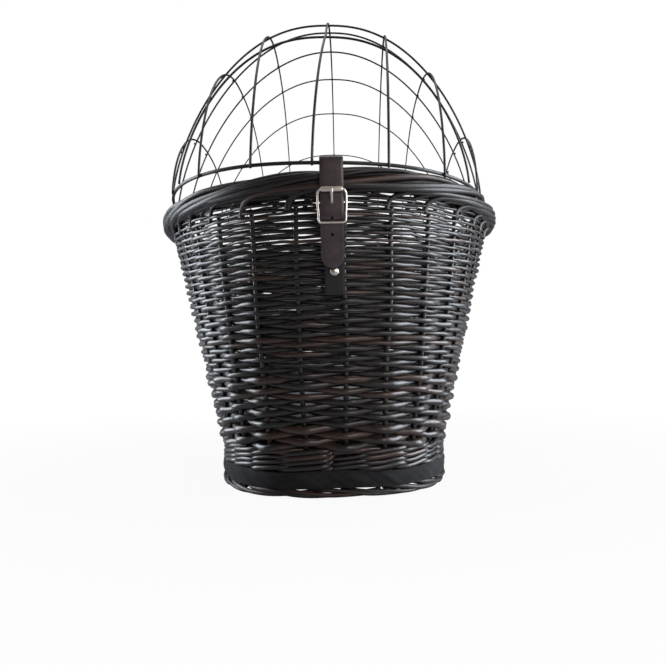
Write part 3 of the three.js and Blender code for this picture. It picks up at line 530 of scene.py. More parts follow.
class Nodes:
    """A node tree, with short ways to add to it."""

    def __init__(self, tree):
        self.tree = tree

    def fill(self, target, **values):
        """Sets a node's inputs, or links them. A leading underscore means its own setting."""
        for key, value in values.items():
            name = key.replace("_", " ")
            if key.startswith("_"):
                setattr(target, key[1:], value)
            elif isinstance(value, bpy.types.NodeSocket):
                self.tree.links.new(value, target.inputs[name])
            else:
                target.inputs[name].default_value = value
        return target

    def add(self, kind, **values):
        return self.fill(self.tree.nodes.new(kind), **values)

    def maths(self, operation, first, second):
        made = self.add("ShaderNodeMath", _operation=operation)
        for socket, value in zip(made.inputs, (first, second)):
            if isinstance(value, bpy.types.NodeSocket):
                self.tree.links.new(value, socket)
            else:
                socket.default_value = value
        return made.outputs[0]

    def camera_ray(self):
        return self.add("ShaderNodeLightPath").outputs["Is Camera Ray"]

    def show(self, share, first, second, output):
        """Sends a blend of two shaders to the output node."""
        mix = self.add("ShaderNodeMixShader")
        for value, socket in zip((share, first, second), mix.inputs):
            self.tree.links.new(value, socket)
        self.fill(self.tree.nodes[output], Surface=mix.outputs["Shader"])


class Look(Nodes):
    """A new material, with its main shader and the textures that the materials share."""

    def __init__(self, name):
        self.material = bpy.data.materials.new(name)
        self.material.use_nodes = True
        super().__init__(self.material.node_tree)
        self.shader = self.tree.nodes["Principled BSDF"]
        self.solid = self.add("ShaderNodeTexCoord").outputs["Object"]

    def ramp(self, factor, stops, smooth=False):
        made = self.add("ShaderNodeValToRGB", Fac=factor)
        made.color_ramp.interpolation = "EASE" if smooth else "LINEAR"
        elements = made.color_ramp.elements
        while len(elements) < len(stops):
            elements.new(0.5)
        for element, (place, colour) in zip(elements, stops):
            element.position = place
            element.color = (*colour, 1)
        return made.outputs["Color"]

    def stretched(self, source, scale):
        return self.add("ShaderNodeMapping", Vector=source, Scale=scale).outputs["Vector"]

    def noise(self, vector, scale, detail=4, roughness=0.55):
        made = self.add("ShaderNodeTexNoise", Vector=vector, Scale=scale, Detail=detail,
                        Roughness=roughness)
        return made.outputs["Fac"]

    def blend(self, kind, factor, first, second):
        made = self.add("ShaderNodeMix", _data_type="RGBA", _blend_type=kind)
        for name, value in (("Factor", factor), ("A", first), ("B", second)):
            socket = [s for s in made.inputs if s.name == name and s.enabled][0]
            if isinstance(value, bpy.types.NodeSocket):
                self.tree.links.new(value, socket)
            else:
                socket.default_value = (*value, 1) if isinstance(value, tuple) else value
        return [s for s in made.outputs if s.enabled][0]

    def scaled(self, source, factor, added):
        return self.maths("ADD", self.maths("MULTIPLY", source, factor), added)

    def bump(self, height, strength, distance):
        made = self.add("ShaderNodeBump", Height=height, Strength=strength, Distance=distance)
        self.fill(self.shader, Normal=made.outputs["Normal"])


def grey(value):
    return (value, value, value)


def willow_material(name, dark, warm, gloss, coat):
    """Dyed willow: long grain, a colour for each rod with painted reddish reflection in warmer
    stretches along the woven rods, worn patches and a satin lacquer.
    """
    look = Look(name)
    grain = look.add("ShaderNodeUVMap", _uv_map="grain").outputs["UV"]
    # Each rod's own colour, with painted reddish reflection in warmer stretches along the woven
    # rods.
    tone = look.add("ShaderNodeAttribute", _attribute_name="tone").outputs["Fac"]
    streaks = look.noise(look.stretched(grain, (35, 7, 1)), 6, 6, 0.65)
    patches = look.noise(look.stretched(grain, (14, 1.5, 1)), 2, 3)
    speckle = look.noise(look.solid, 900, 2)
    base = look.ramp(tone, ((0.0, dark), (0.55, dark), (1.0, warm)), True)
    streaked = look.ramp(streaks, ((0.3, grey(0.55)), (0.75, (1.5, 1.45, 1.4))))
    worn = look.maths("MULTIPLY", look.ramp(patches, ((0.62, grey(0)), (0.8, grey(1)))), 0.35)
    colour = look.blend("MULTIPLY", 0.85, base, streaked)
    colour = look.blend("MIX", worn, colour, tuple(2.6 * c for c in warm))
    look.fill(look.shader, Base_Color=colour, Roughness=look.scaled(streaks, 0.3, gloss - 0.1),
              Coat_Weight=coat, Coat_Roughness=0.18)
    look.bump(look.scaled(speckle, 0.3, streaks), 0.5, 0.0004)
    return look.material


def wire_material():
    look = Look("black_coated_wire")
    cloud = look.noise(look.solid, 60, 3)
    colour = look.ramp(cloud, ((0.3, (0.007, 0.007, 0.0075)), (0.75, (0.014, 0.014, 0.015))))
    look.fill(look.shader, Base_Color=colour, Roughness=look.scaled(cloud, 0.2, 0.3))
    look.bump(look.noise(look.solid, 1400, 2), 0.25, 0.0001)
    return look.material


def leather_material(name, low, high, rough_base, coat):
    """Leather with pores and creases. The pits of the pores are darkened in the colour: painted
    shade in the hollows.
    """
    look = Look(name)
    pores = look.add("ShaderNodeTexVoronoi", Vector=look.solid, Scale=1500).outputs["Distance"]
    cloud = look.noise(look.solid, 90, 5, 0.6)
    creases = look.noise(look.stretched(look.solid, (1, 1, 3.5)), 240, 4, 0.6)
    colour = look.ramp(cloud, ((0.32, low), (0.72, high)))
    # Painted shade: the pits of the pores are darkened.
    shade = look.ramp(pores, ((0.0, grey(0.72)), (0.35, grey(1))))
    look.fill(look.shader, Base_Color=look.blend("MULTIPLY", 0.8, colour, shade),
              Roughness=look.scaled(creases, 0.25, rough_base - 0.1),
              Coat_Weight=coat, Coat_Roughness=0.3)
    look.bump(look.scaled(creases, 1.3, pores), 0.35, 0.00025)
    return look.material


def metal_material(name, low, high, rough_low, rough_high, stretch):
    look = Look(name)
    cloud = look.noise(look.solid, 120, 4)
    brushed = look.noise(look.stretched(look.solid, stretch), 500, 3)
    look.fill(look.shader, Base_Color=look.ramp(cloud, ((0.3, low), (0.75, high))), Metallic=1.0,
              Roughness=look.scaled(brushed, rough_high - rough_low, rough_low))
    look.bump(brushed, 0.12, 0.0001)
    return look.material


def velvet_material():
    """The black pile strip of the foot: soft sheen, crushed patches."""
    look = Look("black_velvet")
    crushed = look.noise(look.stretched(look.solid, (1, 1, 2.2)), 45, 5, 0.6)
    pile = look.noise(look.solid, 2600, 2)
    colour = look.ramp(crushed, ((0.35, (0.004, 0.004, 0.0046)), (0.7, (0.013, 0.013, 0.0145))))
    look.fill(look.shader, Base_Color=colour, Roughness=0.92, Sheen_Weight=0.04,
              Sheen_Roughness=0.4)
    look.bump(look.scaled(crushed, 1.5, pile), 0.5, 0.0004)
    return look.material


def cushion_material():
    """A plain woven grey cover: warp and weft, with slubs. The gaps between the threads are
    darkened in the colour: painted shade.
    """
    look = Look("grey_cover")
    bands = []
    for direction in ("X", "Y"):
        made = look.add("ShaderNodeTexWave", Vector=look.solid, Scale=260, Distortion=1.2,
                        Detail=2, _bands_direction=direction)
        bands.append(made.outputs["Fac"])
    weave = look.maths("MULTIPLY", *bands)
    slub = look.noise(look.solid, 160, 5)
    colour = look.ramp(slub, ((0.3, (0.38, 0.39, 0.40)), (0.7, (0.58, 0.59, 0.60))))
    # Painted shade: the colour is darker where the warp and weft bands are low, between the
    # threads.
    shade = look.ramp(weave, ((0.0, grey(0.7)), (0.6, grey(1))))
    look.fill(look.shader, Base_Color=look.blend("MULTIPLY", 0.7, colour, shade),
              Roughness=0.95, Sheen_Weight=0.15)
    look.bump(look.maths("ADD", weave, slub), 0.5, 0.0004)
    return look.material


def thread_material(name, colour, rough):
    look = Look(name)
    twist = look.noise(look.solid, 3000, 2)
    shades = ((0.3, tuple(0.6 * c for c in colour)), (0.7, colour))
    look.fill(look.shader, Base_Color=look.ramp(twist, shades), Roughness=rough)
    look.bump(twist, 0.4, 0.0001)
    return look.material


# Camera, lights and backdrop


def make_camera():
    camera = bpy.data.cameras.new("camera")
    camera.sensor_width = SENSOR_WIDTH
    camera.lens = SENSOR_WIDTH * FOCAL_PIXELS / IMAGE_SIDE
    middle = IMAGE_SIDE / 2
    camera.shift_x = (middle - AXIS_PIXEL[0]) / IMAGE_SIDE
    camera.shift_y = (AXIS_PIXEL[1] - middle) / IMAGE_SIDE
    camera.clip_start = 0.01
    holder = linked("camera", camera)
    looking = Matrix.Rotation(math.pi / 2, 4, "X") @ Matrix.Rotation(-CAMERA_ROLL, 4, "Z")
    holder.matrix_world = Matrix.Translation(CAMERA_PLACE) @ looking
    bpy.context.scene.camera = holder


def make_lamp(name, place, target, size, power, colour):
    light = bpy.data.lights.new(name, "AREA")
    light.shape = "RECTANGLE"
    light.size, light.size_y = size
    light.energy = power
    light.color = colour
    facing = (Vector(target) - Vector(place)).to_track_quat("-Z", "Y").to_matrix().to_4x4()
    linked(name, light).matrix_world = Matrix.Translation(place) @ facing


def make_world():
    """A dim sky for the object, and plain white for the camera."""
    world = bpy.data.worlds.new("studio")
    bpy.context.scene.world = world
    world.use_nodes = True
    nodes = Nodes(world.node_tree)
    lit = nodes.fill(nodes.tree.nodes["Background"], Color=WORLD_COLOUR, Strength=WORLD_STRENGTH)
    seen = nodes.add("ShaderNodeBackground", Color=WHITE, Strength=1.0)
    nodes.show(nodes.camera_ray(), lit.outputs["Background"], seen.outputs["Background"],
               "World Output")


def make_floor():
    look = Look("pale_floor")
    look.fill(look.shader, Base_Color=FLOOR_COLOUR, Roughness=0.8)
    far = look.add("ShaderNodeVectorMath", _operation="LENGTH")
    look.tree.links.new(look.solid, far.inputs[0])
    faded = look.add("ShaderNodeMapRange", Value=far.outputs["Value"], From_Min=FLOOR_FADE[0],
                     From_Max=FLOOR_FADE[1], To_Min=FLOOR_WHITENED)
    share = look.maths("MULTIPLY", faded.outputs["Result"], look.camera_ray())
    white = look.add("ShaderNodeEmission", Color=WHITE, Strength=1.0)
    look.show(share, look.shader.outputs["BSDF"], white.outputs["Emission"], "Material Output")

    mesh = bpy.data.meshes.new("floor")
    corners = ((-1, -1), (1, -1), (1, 1), (-1, 1))
    corners = [(FLOOR_REACH * x, FLOOR_REACH * y, 0) for x, y in corners]
    mesh.from_pydata(corners, [], [(0, 1, 2, 3)])
    mesh.materials.append(look.material)
    floor = linked("floor", mesh)


# The woven pieces


def weave_rows():
    """The heights and pitches of the weave's rows. Thick rods lie low and fine ones high."""
    rows = []
    z = wall_bottom + LOW_PITCH * 0.5
    while z < wall_top + ROWS_IN_RIM:
        pitch = LOW_PITCH + (HIGH_PITCH - LOW_PITCH) * (z - wall_bottom) / (wall_top - wall_bottom)
        pitch = max(pitch, HIGH_PITCH)
        rows.append((z, pitch))
        z += pitch
    return rows


def from_high_to_low(high, low, pitch):
    """A value of the weave, between the open fine rows at the top and the closed low ones."""
    closed = ((pitch - HIGH_PITCH) / (LOW_PITCH - HIGH_PITCH)) ** OPEN_REACH
    return high + (low - high) * closed


def rod_tone(warm_share=0.24):
    """Most rods are near black, and some show brown."""
    if rng.random() < warm_share:
        return 0.6 + 0.4 * rng.random()
    return 0.5 * rng.random()


def woven_row(rods, z, pitch, phase, lean, set_in=0.0):
    """One rod all round: outside one stake and inside the next."""
    count = int(2 * math.pi * MEAN_WALL_RADIUS / ROD_STEP)
    share = np.arange(count) / count
    stake_place = share * STAKES - STAKE_SHIFT
    swing = WAVE_FULLNESS * np.cos(np.pi * (stake_place + phase))
    wave = np.arcsin(swing) / math.asin(WAVE_FULLNESS)
    thick = np.clip(1 + THICKNESS_SPREAD * rng.normal(), *THICKNESS_RANGE)
    radius = 0.5 * pitch * from_high_to_low(HIGH_ROD_SHARE, LOW_ROD_SHARE, pitch) * thick
    taper = 1 + ROD_TAPER * np.cos(2 * np.pi * (share + rng.random()))
    radii = radius * taper * (1 + OUTSIDE_SWELL * wave)
    reach = STAKE_DIAMETER / 2 + radii - PRESSED_ON_STAKE
    depth = WALL_THICKNESS / 2 + set_in - reach * wave + wobble(count, (37, 53, 71), ROW_SWAY)
    rise = wobble(count, (3, 7, 17, 29, 41, 67), ROW_RISE_SWAY * pitch) - lean * pitch * wave
    # The rod's own colour, plus warmer stretches along it that are painted reddish reflection.
    tone = rod_tone() + wobble(count, (4, 7, 11, 19), 0.22)
    rods.add(wall.at(share, z + rise, depth), radii, closed=True, tone=tone)


def make_side_weave(material):
    rods = Rods()
    for index, (z, pitch) in enumerate(weave_rows()):
        woven_row(rods, z, pitch, index, from_high_to_low(HIGH_ROD_LEAN, LOW_ROD_LEAN, pitch))
    dress(rods.build("woven_rows"), material, "basket", "willow", "side_weave")

    stakes = Rods()
    thick = STAKE_DIAMETER / 2 * (1.08 - 0.16 * np.linspace(0, 1, STAKE_POINTS))
    z = np.linspace(skirt_bottom + 2 * MM, wall_top + 1 * MM, STAKE_POINTS)
    for index in range(STAKES):
        places = (index + STAKE_SHIFT) / STAKES + wobble(STAKE_POINTS, (1, 2), 0.0006, False)
        depth = WALL_THICKNESS / 2 + wobble(STAKE_POINTS, (1, 3), 0.2 * MM, False)
        up = np.column_stack([wall.place_and_out(places, z)[1], np.zeros(STAKE_POINTS)])
        stakes.add(wall.at(places, z, depth), thick, up=up, tone=rod_tone(0.1))
    dress(stakes.build("weave_stakes"), material, "basket", "willow", "side_weave")


def make_wale(material):
    """Rows of three rods that twist round each other, each outside two stakes and inside one."""
    rods = Rods()
    height = (wall_bottom - wale_bottom) / WALE_ROWS
    count = STAKES * WALE_POINTS_A_STAKE
    share = np.arange(count) / count
    stake_place = share * STAKES - STAKE_SHIFT
    for row in range(WALE_ROWS):
        middle = wale_bottom + height * (row + 0.5)
        for strand in range(WALE_STRANDS):
            turn = 2 * np.pi * (stake_place + strand + row) / WALE_STRANDS
            inside = np.clip(-np.cos(turn) * WALE_SHARPNESS, -1, 1)
            radius = WALE_ROD_RADIUS * (1 + 0.08 * rng.normal())
            rise = np.sin(turn) * WALE_RISE + wobble(count, (5, 11, 23, 37), 0.45 * MM)
            points = wall.at(share, middle + rise, WALE_DEPTH + inside * WALE_SWING)
            # The rod's own colour, plus warmer stretches along it that are painted reddish
            # reflection.
            tone = rod_tone() + wobble(count, (4, 7, 11), 0.2)
            rods.add(points, radius, closed=True, tone=tone)
    dress(rods.build("wale_rods"), material, "basket", "willow", "bottom_wale")


def make_skirt(material):
    """The short woven stretch behind the base band. It stops above the foot border."""
    rods = Rods()
    for row in range(SKIRT_ROWS):
        z = skirt_top - SKIRT_FIRST_DROP - row * SKIRT_ROW_DROP
        woven_row(rods, z, SKIRT_PITCH, row + 1, SKIRT_LEAN, SKIRT_SET_IN)
    dress(rods.build("skirt_rods"), material, "basket", "willow", "foot_skirt")


def bent_rods(centre, half_depth, heights, course, layers, rod, loose, lift=None):
    """A border of stake ends: each bends over to the right and runs along the others."""
    low, high = heights
    course = spline(np.array(course) * (1, 0.1, 1), 90) / (1, 0.1, 1)
    count = len(course)
    rods = Rods()
    for shift, size, set_in in layers:
        for index in range(STAKES):
            start = index + STAKE_SHIFT + shift + 0.7 * loose * rng.normal()
            reach = 1 + 0.6 * loose * rng.normal()
            share = (start + course[:, 0] * reach) / STAKES
            place, outwards = centre(share)
            bend = wobble(count, (1, 2, 3), loose * rod, False)
            out = half_depth - course[:, 1] * MM - set_in + 0.5 * bend
            z = low + rod / 2 + course[:, 2] * (high - low - rod) + bend
            if lift:
                z = z + np.clip(course[:, 2], 0, 1) * lift(share)
            thick = rod / 2 * size * (1.04 - 0.22 * np.linspace(0, 1, count))
            thick = thick * (1 + loose * rng.normal())
            points = np.column_stack([place + outwards * out[:, None], z])
            up = np.column_stack([outwards, np.full(count, 0.3)])
            tone = rod_tone(0.3) + wobble(count, (1, 2, 3), 0.15, False)
            rods.add(points, thick, sides=9, up=up, tone=tone)
    return rods


def rim_lift(share):
    """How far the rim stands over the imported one. It is highest at the rear right."""
    away = (share % 1 - RIM_RAISED_PLACE) / RIM_RAISED_SPREAD
    return RIM_RAISED + RIM_RAISED_RIGHT * np.exp(-away ** 2)


def make_rim(material):
    low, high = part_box("rim_border")
    half_depth = WALL_THICKNESS
    centre = along_oval(RIM_HALF[0] - half_depth, RIM_HALF[1] - half_depth, RIM_SQUARENESS)
    rods = bent_rods(centre, half_depth, (low.z, high.z), RIM_ROD_COURSE, RIM_LAYERS, RIM_ROD,
                     RIM_LOOSE, rim_lift)
    share = np.arange(RIM_CORE_POINTS) / RIM_CORE_POINTS
    place, outwards = centre(share)
    for out, height in RIM_CORES:
        z = low.z + (high.z - low.z) * height + rim_lift(share)
        points = np.column_stack([place + outwards * out, z])
        rods.add(points, RIM_CORE_RADIUS, closed=True, tone=0.1)
    dress(rods.build("rolled_rim"), material, "basket", "border_willow", "rim_border")


def make_foot(material):
    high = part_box("foot_border")[1]
    centre = along_oval(high.x - FOOT_HALF_DEPTH, high.y - FOOT_HALF_DEPTH, BASE_SQUARENESS)
    heights = (FOOT_MARGIN, high.z + FOOT_MARGIN)
    rods = bent_rods(centre, FOOT_HALF_DEPTH, heights, FOOT_ROD_COURSE, FOOT_LAYERS, FOOT_ROD,
                     FOOT_LOOSE)
    dress(rods.build("rolled_foot"), material, "basket", "border_willow", "foot_border")


def make_base(material):
    """The woven floor: cross sticks, and rods that run along and pass over and under them."""
    low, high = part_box("woven_base")
    rods = Rods()
    middle = (low.z + high.z) / 2
    half_width, half_length, squareness = Wall.half_sizes(low.z)
    half_width -= WALL_THICKNESS + BASE_EDGE_GAP
    half_length -= WALL_THICKNESS + BASE_EDGE_GAP

    def span(place, half, other_half):
        reach = other_half * (1 - (abs(place) / half) ** squareness) ** (1 / squareness)
        return reach - BASE_END_GAP

    for step in range(-5, 6):
        y = step * BASE_STICK_PITCH
        x = span(y, half_length, half_width)
        points = np.column_stack([np.linspace(-x, x, 12), np.full(12, y), np.full(12, middle)])
        rods.add(points, BASE_STICK_RADIUS, tone=rod_tone())
    row = 0
    x = -half_width + 4 * MM
    while x < half_width - 4 * MM:
        y = span(x, half_width, half_length)
        along = np.linspace(-y, y, BASE_ROD_POINTS)
        z = middle + np.cos(np.pi * (along / BASE_STICK_PITCH + row)) * BASE_STICK_RADIUS
        sway = wobble(BASE_ROD_POINTS, (3, 5, 9), 0.2 * MM, False)
        points = np.column_stack([x + sway, along, z])
        rods.add(points, BASE_ROD_RADIUS, sides=7, up=(1, 0, 0), tone=rod_tone())
        x += BASE_ROD_PITCH
        row += 1
    dress(rods.build("woven_floor"), material, "basket", "willow", "woven_base")


# The wire hood


def hood_to_world(points):
    """Hood places, measured from the middle of its ring, in the basket's frame."""
    turn = Matrix.Rotation(HOOD_TILT, 3, "Y") @ Matrix.Rotation(HOOD_ASKEW, 3, "Z")
    return np.asarray(points) @ np.array(turn).T + (0, 0, ring_height)


def hood_share(x, y, standoff=0.0):
    """How far out a place lies under the hood: 0 in the middle and 1 over the ring."""
    across = np.abs(x) / (HOOD_RING_HALF[0] + standoff)
    along = np.abs(y) / (HOOD_RING_HALF[1] + standoff)
    total = across ** HOOD_RING_SQUARENESS + along ** HOOD_RING_SQUARENESS
    return total ** (1 / HOOD_RING_SQUARENESS)


def other_share(share):
    return (1 - abs(share) ** HOOD_RING_SQUARENESS) ** (1 / HOOD_RING_SQUARENESS)


def hood_rise(x, y, standoff):
    """Height of the hood's wires over its ring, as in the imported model."""
    share = np.minimum(hood_share(x, y, standoff), 1)
    dome = (1 - share ** HOOD_CROWN) ** (1 / HOOD_SHOULDER)
    drop = 1 - HOOD_FORWARD_DROP * y / HOOD_RING_HALF[1]
    return (HOOD_HEIGHT + standoff) * dome * drop


def bar_x(number, y):
    """The x of a bar where it passes y. The middle bar's rear foot clears the closure strap."""
    reach = ARCH_PAIRS * ARCH_SPACING
    part = (y + reach) / (2 * reach)
    x = REAR_BARS[number] + (FRONT_BARS[number] - REAR_BARS[number]) * part
    if number != MIDDLE_BAR:
        return x
    behind = (-y - reach) / (HOOD_RING_HALF[1] + BAR_STANDOFF - reach)
    return x + MIDDLE_BAR_FOOT_SHIFT * np.clip(behind, 0, 1)


def bar_end(number, end):
    """The y at which a bar meets the ring, found step by step. The end is 1 or -1."""
    y = 0.0
    for _ in range(BAR_END_TRIES):
        across = bar_x(number, y) / (HOOD_RING_HALF[0] + BAR_STANDOFF)
        y = end * (HOOD_RING_HALF[1] + BAR_STANDOFF) * other_share(across)
    return y


def arch_points(y):
    share = other_share(y / (HOOD_RING_HALF[1] + ARCH_STANDOFF))
    half_width = (HOOD_RING_HALF[0] + ARCH_STANDOFF) * share
    lowest = (RING_WIRE + HOOD_WIRE) * 0.5 - 0.1 * MM
    x = half_width * np.cos(np.linspace(0, np.pi, CURVE_POINTS))
    z = np.maximum(hood_rise(x, y, ARCH_STANDOFF), 0)
    points = np.column_stack([x, np.full(CURVE_POINTS, y), z])
    return np.vstack([(half_width, y, lowest), points[z > lowest], (-half_width, y, lowest)])


def bar_points(number):
    front, rear = bar_end(number, 1), bar_end(number, -1)
    turn = (1 + np.cos(np.linspace(0, np.pi, CURVE_POINTS))) / 2
    y = rear + (front - rear) * turn
    x = bar_x(number, y)
    points = np.column_stack([x, y, hood_rise(x, y, BAR_STANDOFF)])
    feet = [(bar_x(number, end), end, -BAR_FOOT) for end in (front, rear)]
    return np.vstack([feet[0], points, feet[1]])


def make_wire(material, kind, number, points, up):
    """One wire of the hood. It looks heavier at the rear end than at the front."""
    part = (points[:, 1] + HOOD_RING_HALF[1]) / (2 * HOOD_RING_HALF[1])
    radii = (REAR_WIRE + (FRONT_WIRE - REAR_WIRE) * np.clip(part, 0, 1)) / 2
    rods = Rods()
    rods.add(hood_to_world(points), radii, sides=12, up=up)
    piece = rods.build(f"{kind}_wire_{number + 1}")
    dress(piece, material, "hood", "hood_wire", f"hood_{kind}_{number + 1}")


def make_hood(material):
    ring = Rods()
    points = oval_table(*HOOD_RING_HALF, HOOD_RING_SQUARENESS, RING_POINTS)[:, :2]
    points = np.column_stack([points, np.zeros(RING_POINTS)])
    thick = RING_WIRE / 2 * (1.02 - 0.3 * np.clip(points[:, 1] / HOOD_RING_HALF[1], 0, 1))
    ring.add(hood_to_world(points), thick, closed=True, sides=14)
    dress(ring.build("hood_ring_wire"), material, "hood", "hood_wire", "hood_ring")
    for number in range(2 * ARCH_PAIRS + 1):
        points = spline(arch_points((number - ARCH_PAIRS) * ARCH_SPACING), ARCH_POINTS)
        make_wire(material, "arch", number, points, (0, 1, 0))
    for number in range(len(REAR_BARS)):
        make_wire(material, "bar", number, spline(bar_points(number), BAR_POINTS), (1, 0, 0))
    make_welds(material)


def make_welds(material):
    """A small weld where each bar crosses an arch and where each bar meets the ring."""
    welds = Rods()
    flat = 1 / np.array(HOOD_RING_HALF) ** 2
    for number in range(len(REAR_BARS)):
        for step in range(-ARCH_PAIRS, ARCH_PAIRS + 1):
            y = step * ARCH_SPACING
            x = bar_x(number, y)
            if hood_share(x, y) > WELD_LIMIT:
                continue
            z = float(hood_rise(x, y, ARCH_STANDOFF))
            out = unit(np.array([x * flat[0], y * flat[1], z / HOOD_HEIGHT ** 2 + 2]))
            reach = (BAR_STANDOFF - ARCH_STANDOFF) * np.linspace(-0.1, 1.1, len(WELD_RADII))
            ends = np.array([x, y, z]) + out * reach[:, None]
            radii = HOOD_WIRE * np.array(WELD_RADII)
            welds.add(hood_to_world(ends), radii, up=(0.3, 1, 0.2))
        for end in (-1, 1):
            y = bar_end(number, end)
            x = bar_x(number, y)
            out = unit(np.array([x * flat[0], y * flat[1], 0]))
            ends = np.array([x, y, 0.0]) - out * np.linspace(0, FOOT_WELD_LENGTH, 5)[:, None]
            welds.add(hood_to_world(ends), FOOT_WELD_RADIUS)
    dress(welds.build("hood_welds"), material, "hood", "hood_wire")


# Leather


def wall_reach(z):
    return Wall.half_sizes(z)[1]


def closure_places():
    """Distances from the basket's middle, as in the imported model."""
    half = STRAP_THICKNESS / 2
    over_border = RIM_HALF[1] + GAP + half
    bottom_strap = over_border - BUCKLE_BOTTOM_SET_IN
    ring_x = CLOSURE_X - HOOD_RING_HALF[1] * math.sin(HOOD_ASKEW)
    ring_y = -HOOD_RING_HALF[1] * other_share(ring_x / HOOD_RING_HALF[0])
    return SimpleNamespace(
        over_border=over_border,
        roller=over_border + half + GAP + ROLLER_RADIUS,
        middle=over_border - half - GAP - (BUCKLE_WIRE / 2 + GAP + TAB_EYE_WALL),
        bottom_strap=bottom_strap,
        bottom=bottom_strap + STRAP_THICKNESS + GAP + BUCKLE_WIRE / 2,
        ring=-hood_to_world([ring_x, ring_y, 0])[1] - RING_EYE_SET_IN,
    )


def make_outward(mesh):
    body = bmesh.new()
    body.from_mesh(mesh)
    bmesh.ops.recalc_face_normals(body, faces=body.faces)
    body.to_mesh(mesh)
    body.free()


def smooth_by_angle(mesh, degrees):
    mesh.polygons.foreach_set("use_smooth", [True] * len(mesh.polygons))
    mesh.set_sharp_from_angle(angle=math.radians(degrees))


def solid_piece(name, verts, faces, degrees):
    mesh = bpy.data.meshes.new(name)
    mesh.from_pydata(verts, [], faces)
    make_outward(mesh)
    smooth_by_angle(mesh, degrees)
    return linked(name, mesh)


def strip_normals(path):
    """The direction out of a strip's face at each point of its path."""
    along = unit(np.gradient(path, axis=0))
    return np.column_stack([-along[:, 1], along[:, 0]])


def strip(name, path, half_width_at, thickness, x, crown):
    """A leather strip along a path of (distance, height) points at the rear end."""
    travel = travelled(path)
    last = len(STRIP_ACROSS) - 1
    round_trip = [(k, 1) for k in range(last + 1)] + [(k, -1) for k in range(last - 1, 0, -1)]
    verts = []
    for i, (point, normal) in enumerate(zip(path, strip_normals(path))):
        wide = half_width_at(travel[-1] - travel[i])
        for k, side in round_trip:
            bulge = thickness / 2 - STRIP_EDGE + STRIP_EDGE * STRIP_FULL[k]
            if side == 1:
                bulge += crown * (1 - STRIP_ACROSS[k] ** 2)
            place = point + normal * bulge * side * (STRIP_FULL[k] > 0)
            verts.append((x + STRIP_ACROSS[k] * wide, -place[0], place[1]))
    ring = len(round_trip)
    faces = quads(len(path), ring)
    faces.append(tuple(range(ring)))
    faces.append(tuple((len(path) - 1) * ring + j for j in reversed(range(ring))))
    return solid_piece(name, verts, faces, STRIP_ANGLE)


def apply_modifiers(piece):
    bpy.context.view_layer.update()
    evaluated = piece.evaluated_get(bpy.context.evaluated_depsgraph_get())
    mesh = bpy.data.meshes.new_from_object(evaluated)
    piece.modifiers.clear()
    piece.data = mesh


def punch(piece, places):
    """Cuts round holes through the piece from front to back. A place is (x, z, width, height)."""
    for index, (x, z, width, height) in enumerate(places):
        cutter = Rods()
        points = [(x, -RIM_HALF[1] - 0.03, z), (x, -RIM_HALF[1] + 0.05, z)]
        cutter.add(points, width / 2, sides=20, flatten=height / width)
        tool = cutter.build(f"cutter_{index}")
        make_outward(tool.data)
        modifier = piece.modifiers.new("hole", "BOOLEAN")
        modifier.operation = "DIFFERENCE"
        modifier.solver = "EXACT"
        modifier.object = tool
        apply_modifiers(piece)
        bpy.data.objects.remove(tool)
    smooth_by_angle(piece.data, STRIP_ANGLE)


def strap_half_width(left):
    """Half the strap's width where that much of it is left before its rounded tip."""
    half = STRAP_WIDTH / 2
    tip = half * STRAP_TIP_LENGTH
    if left > tip:
        return half
    return max(half * math.sqrt(max(1 - (1 - left / tip) ** STRAP_TIP_ROUNDNESS, 0)), 0.6 * MM)


def make_strap(leather, thread):
    outer_eye = RING_WIRE / 2 + RING_EYE_SLACK + STRAP_THICKNESS / 2
    loop = []
    for degrees in (-60, -20, 20, 60, 100, 140):
        turn = math.radians(180 - degrees)
        reach, rise = outer_eye * math.cos(turn), outer_eye * math.sin(turn)
        loop.append((closure.ring + reach, ring_height + rise))
    front = [
        (closure.over_border - 0.2 * MM, rim_top - 1.5 * MM),
        (closure.over_border + 0.2 * MM, rim_middle + 3 * MM),
        (closure.over_border, buckle_top - 2 * MM),
        (closure.over_border, buckle_middle - 0.6 * MM),
        (closure.bottom_strap + 1.6 * MM, buckle_bottom + 2.4 * MM),
        (closure.bottom_strap, buckle_bottom),
        (closure.bottom_strap - 3.4 * MM, buckle_bottom - 8 * MM),
        (wall_reach(strap_tip) + 9.6 * MM, strap_tip + 9 * MM),
        (wall_reach(strap_tip) + 7.4 * MM, strap_tip),
    ]
    path = spline(loop + front, STRAP_POINTS)
    piece = strip("strap_leather_band", path, strap_half_width, STRAP_THICKNESS, CLOSURE_X,
                  0.25 * MM)
    hole_z = buckle_middle + PRONG_HOLE_RISE
    punch(piece, [
        (CLOSURE_X, hole_z, *PRONG_HOLE),
        (CLOSURE_X, hole_z - HOLE_PITCH, HOLE, HOLE),
        (CLOSURE_X, hole_z - 2 * HOLE_PITCH, HOLE, HOLE),
    ])
    dress(piece, leather, "hood", "strap_leather", "closure_strap")
    make_stitches(path, thread)


